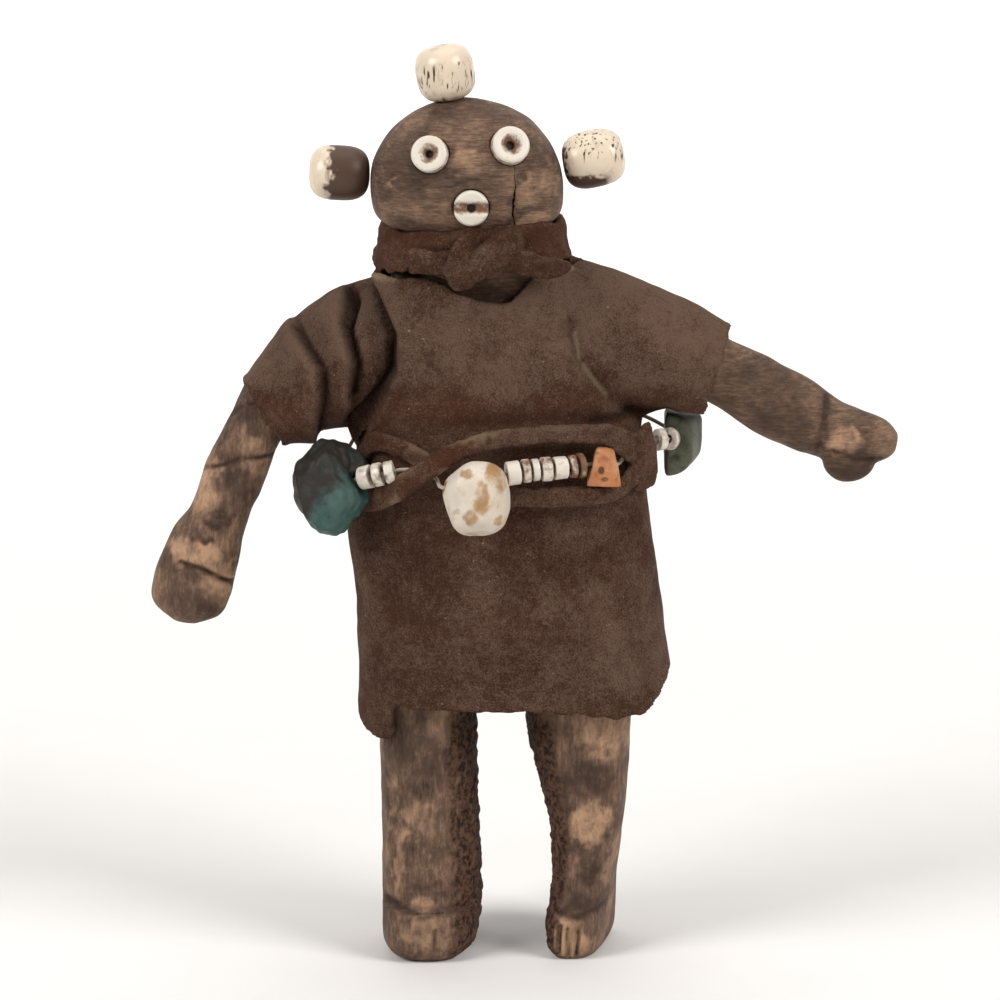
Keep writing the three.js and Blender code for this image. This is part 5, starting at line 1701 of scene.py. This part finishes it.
class DOLL_OT_stage(bpy.types.Operator):
    """Set the camera, the soft lights and the seamless backdrop"""

    bl_idname = "doll.stage"
    bl_label = "Stage"

    def execute(self, context):
        scene = context.scene
        sizes = scene.doll_sizes
        target = Vector((CAMERA_TARGET + SHIFT) * MM)
        back = Vector((0.0, -np.cos(sizes.camera_elevation), np.sin(sizes.camera_elevation)))
        camera = bpy.data.objects.new("camera", bpy.data.cameras.new("camera"))
        camera.data.sensor_width = SENSOR_WIDTH
        camera.data.lens = sizes.camera_lens
        camera.location = target + back * sizes.camera_distance
        camera.rotation_euler = (-back).to_track_quat("-Z", "Y").to_euler()
        scene.collection.objects.link(camera)
        scene.camera = camera
        for name, softbox in SOFTBOXES.items():
            light = bpy.data.objects.new(name, bpy.data.lights.new(name, "AREA"))
            light.data.energy = softbox["power"]
            light.data.size = softbox["size"]
            light.data.color = LIGHT_COLOUR
            light.location = softbox["at"]
            aim = Vector(LIGHT_AIM) - light.location
            light.rotation_euler = aim.to_track_quat("-Z", "Y").to_euler()
            scene.collection.objects.link(light)
        world = bpy.data.worlds.new("studio")
        world.use_nodes = True
        background = world.node_tree.nodes["Background"]
        background.inputs["Color"].default_value = WORLD_COLOUR
        background.inputs["Strength"].default_value = WORLD_STRENGTH
        scene.world = world
        scene.view_settings.view_transform = "Standard"
        self.backdrop(scene)
        return {"FINISHED"}

    def backdrop(self, scene):
        """A floor that curves up behind the doll: a quarter circle between two flat sheets."""
        bend, behind, half_width = BACKDROP["bend"], BACKDROP["behind"], BACKDROP["half_width"]
        turn = np.linspace(0, np.pi / 2, 24)
        profile = np.vstack([
            [(BACKDROP["front"], 0.0)],
            np.column_stack([behind + bend * np.sin(turn), bend - bend * np.cos(turn)]),
            [(behind + bend, BACKDROP["high"])]])
        sides = np.array([-half_width, half_width])
        points = np.stack(np.broadcast_arrays(sides, profile[:, :1], profile[:, 1:]), axis=-1)
        count = len(profile)
        first = 2 * np.arange(count - 1)
        faces = np.stack([first, first + 1, first + 3, first + 2], axis=-1)
        mesh = mesh_of("backdrop", points.reshape(-1, 3), [faces])
        mesh.shade_smooth()
        material, tree, shader, vector = material_of("backdrop_paper")
        paper = noise(tree, vector, 40.0, 5.0, 0.5)
        tone = mixed(tree, paper, colour_of("floor"), colour_of("floor_light"))
        tree.links.new(tone, shader.inputs["Base Color"])
        shader.inputs["Roughness"].default_value = 0.7
        behind_doll = add(tree, "ShaderNodeSeparateXYZ", {0: vector}).outputs[1]
        rise = between(tree, behind_doll, 0.0, 0.75)
        glow = mixed(tree, rise, (0.0, 0.0, 0.0, 1.0), colour_of("floor_glow"))
        tree.links.new(glow, shader.inputs["Emission Color"])
        shader.inputs["Emission Strength"].default_value = 1.0
        mesh.materials.append(material)
        backdrop = bpy.data.objects.new("backdrop", mesh)
        scene.collection.objects.link(backdrop)


class DOLL_OT_figure(bpy.types.Operator):
    """Carve the head, body and legs from antler"""

    bl_idname = "doll.figure"
    bl_label = "Carved figure"

    def execute(self, context):
        build_figure()
        return {"FINISHED"}


class DOLL_OT_arms(bpy.types.Operator):
    """Carve both arms from antler"""

    bl_idname = "doll.arms"
    bl_label = "Arms"

    def execute(self, context):
        material = bpy.data.materials["carved_antler"]
        cell = context.scene.doll_sizes.strip_mesh / MM
        right = [tube(limb(RIGHT_ARM, 90, 160)), tube(ball(THUMB["at"], THUMB["half"]))]
        vertices, faces = skinned(right, cell)
        vertices = relaxed(vertices, faces, 6)
        left = tube(limb(LEFT_ARM, 150, 260))
        build_arm("antler_left_arm", left, LEFT_ARM_GROOVES, "left_arm", material, 1.0)
        build_arm("antler_right_arm", (vertices, faces), RIGHT_ARM_GROOVES, "right_arm", material, 0.0)
        return {"FINISHED"}


class DOLL_OT_tunic(bpy.types.Operator):
    """Drape the hide tunic"""

    bl_idname = "doll.tunic"
    bl_label = "Tunic"

    def execute(self, context):
        tunic = build_tunic()
        return {"FINISHED"}


class DOLL_OT_scarf(bpy.types.Operator):
    """Knot the hide scarf round the neck"""

    bl_idname = "doll.scarf"
    bl_label = "Neck scarf"

    def execute(self, context):
        build_scarf()
        return {"FINISHED"}


class DOLL_OT_belt(bpy.types.Operator):
    """Tie the slit hide belt"""

    bl_idname = "doll.belt"
    bl_label = "Belt"

    def execute(self, context):
        build_belt()
        return {"FINISHED"}


class DOLL_OT_barrel_beads(bpy.types.Operator):
    """Turn the bone beads of the topknot and ears"""

    bl_idname = "doll.barrel_beads"
    bl_label = "Bone beads"

    def execute(self, context):
        material = bone_material()
        for name in BARREL_BEADS:
            build_barrel_bead(name, material)
        return {"FINISHED"}


class DOLL_OT_face(bpy.types.Operator):
    """Set the shell discs of the eyes and mouth"""

    bl_idname = "doll.face"
    bl_label = "Face discs"

    def execute(self, context):
        material = shell_material()
        for name in FEATURES:
            face_disc(name, material)
        return {"FINISHED"}


class DOLL_OT_stones(bpy.types.Operator):
    """Shape and drill the stones of the waist strand"""

    bl_idname = "doll.stones"
    bl_label = "Stones"

    def execute(self, context):
        for name, (slot, colours, size, rough) in STONE_LOOKS.items():
            tints = [colour_of(colour) for colour in colours]
            build_stone(name, stone_material(f"drilled_{slot}", *tints, size, rough))
        return {"FINISHED"}


class DOLL_OT_strand(bpy.types.Operator):
    """String the disc beads on their thread"""

    bl_idname = "doll.strand"
    bl_label = "Bead strand"

    def execute(self, context):
        thread = thread_tube(context.scene.doll_sizes.thread_radius / MM)
        piece("strand_thread", thread, thread_material(), ["bead_thread"], {})
        path = strand_path(1200)
        material = bpy.data.materials["polished_shell"]
        seed = 0
        for run, beads in DISC_RUNS.items():
            for number, (thick, grime) in enumerate(beads, start=1):
                build_disc(f"{run}_disc_bead_{number}", thick, grime, path, material, seed)
                seed += 1
        return {"FINISHED"}


class DOLL_PT_panel(bpy.types.Panel):
    """Sizes, colours and pieces of the doll"""

    bl_idname = "DOLL_PT_panel"
    bl_label = "Antler Doll"
    bl_space_type = "VIEW_3D"
    bl_region_type = "UI"
    bl_category = "Doll"

    def draw(self, context):
        for group in (context.scene.doll_sizes, context.scene.doll_colours):
            column = self.layout.column(align=True)
            for name in group.__annotations__:
                column.prop(group, name)
        column = self.layout.column(align=True)
        for operator in OPERATORS:
            column.operator(operator.bl_idname)


OPERATORS = (
    DOLL_OT_stage, DOLL_OT_figure, DOLL_OT_arms, DOLL_OT_tunic, DOLL_OT_scarf, DOLL_OT_belt,
    DOLL_OT_barrel_beads, DOLL_OT_face, DOLL_OT_stones, DOLL_OT_strand,
)
CLASSES = (DollSizes, DollColours, *OPERATORS, DOLL_PT_panel)


def register():
    for made in CLASSES:
        bpy.utils.register_class(made)
    bpy.types.Scene.doll_sizes = bpy.props.PointerProperty(type=DollSizes)
    bpy.types.Scene.doll_colours = bpy.props.PointerProperty(type=DollColours)


def unregister():
    del bpy.types.Scene.doll_colours
    del bpy.types.Scene.doll_sizes
    for made in reversed(CLASSES):
        bpy.utils.unregister_class(made)


def main():
    register()
    bpy.ops.doll.stage()
    bpy.ops.doll.figure()
    bpy.ops.doll.arms()
    bpy.ops.doll.tunic()
    bpy.ops.doll.scarf()
    bpy.ops.doll.belt()
    bpy.ops.doll.barrel_beads()
    bpy.ops.doll.face()
    bpy.ops.doll.stones()
    bpy.ops.doll.strand()


if __name__ == "__main__":
    main()
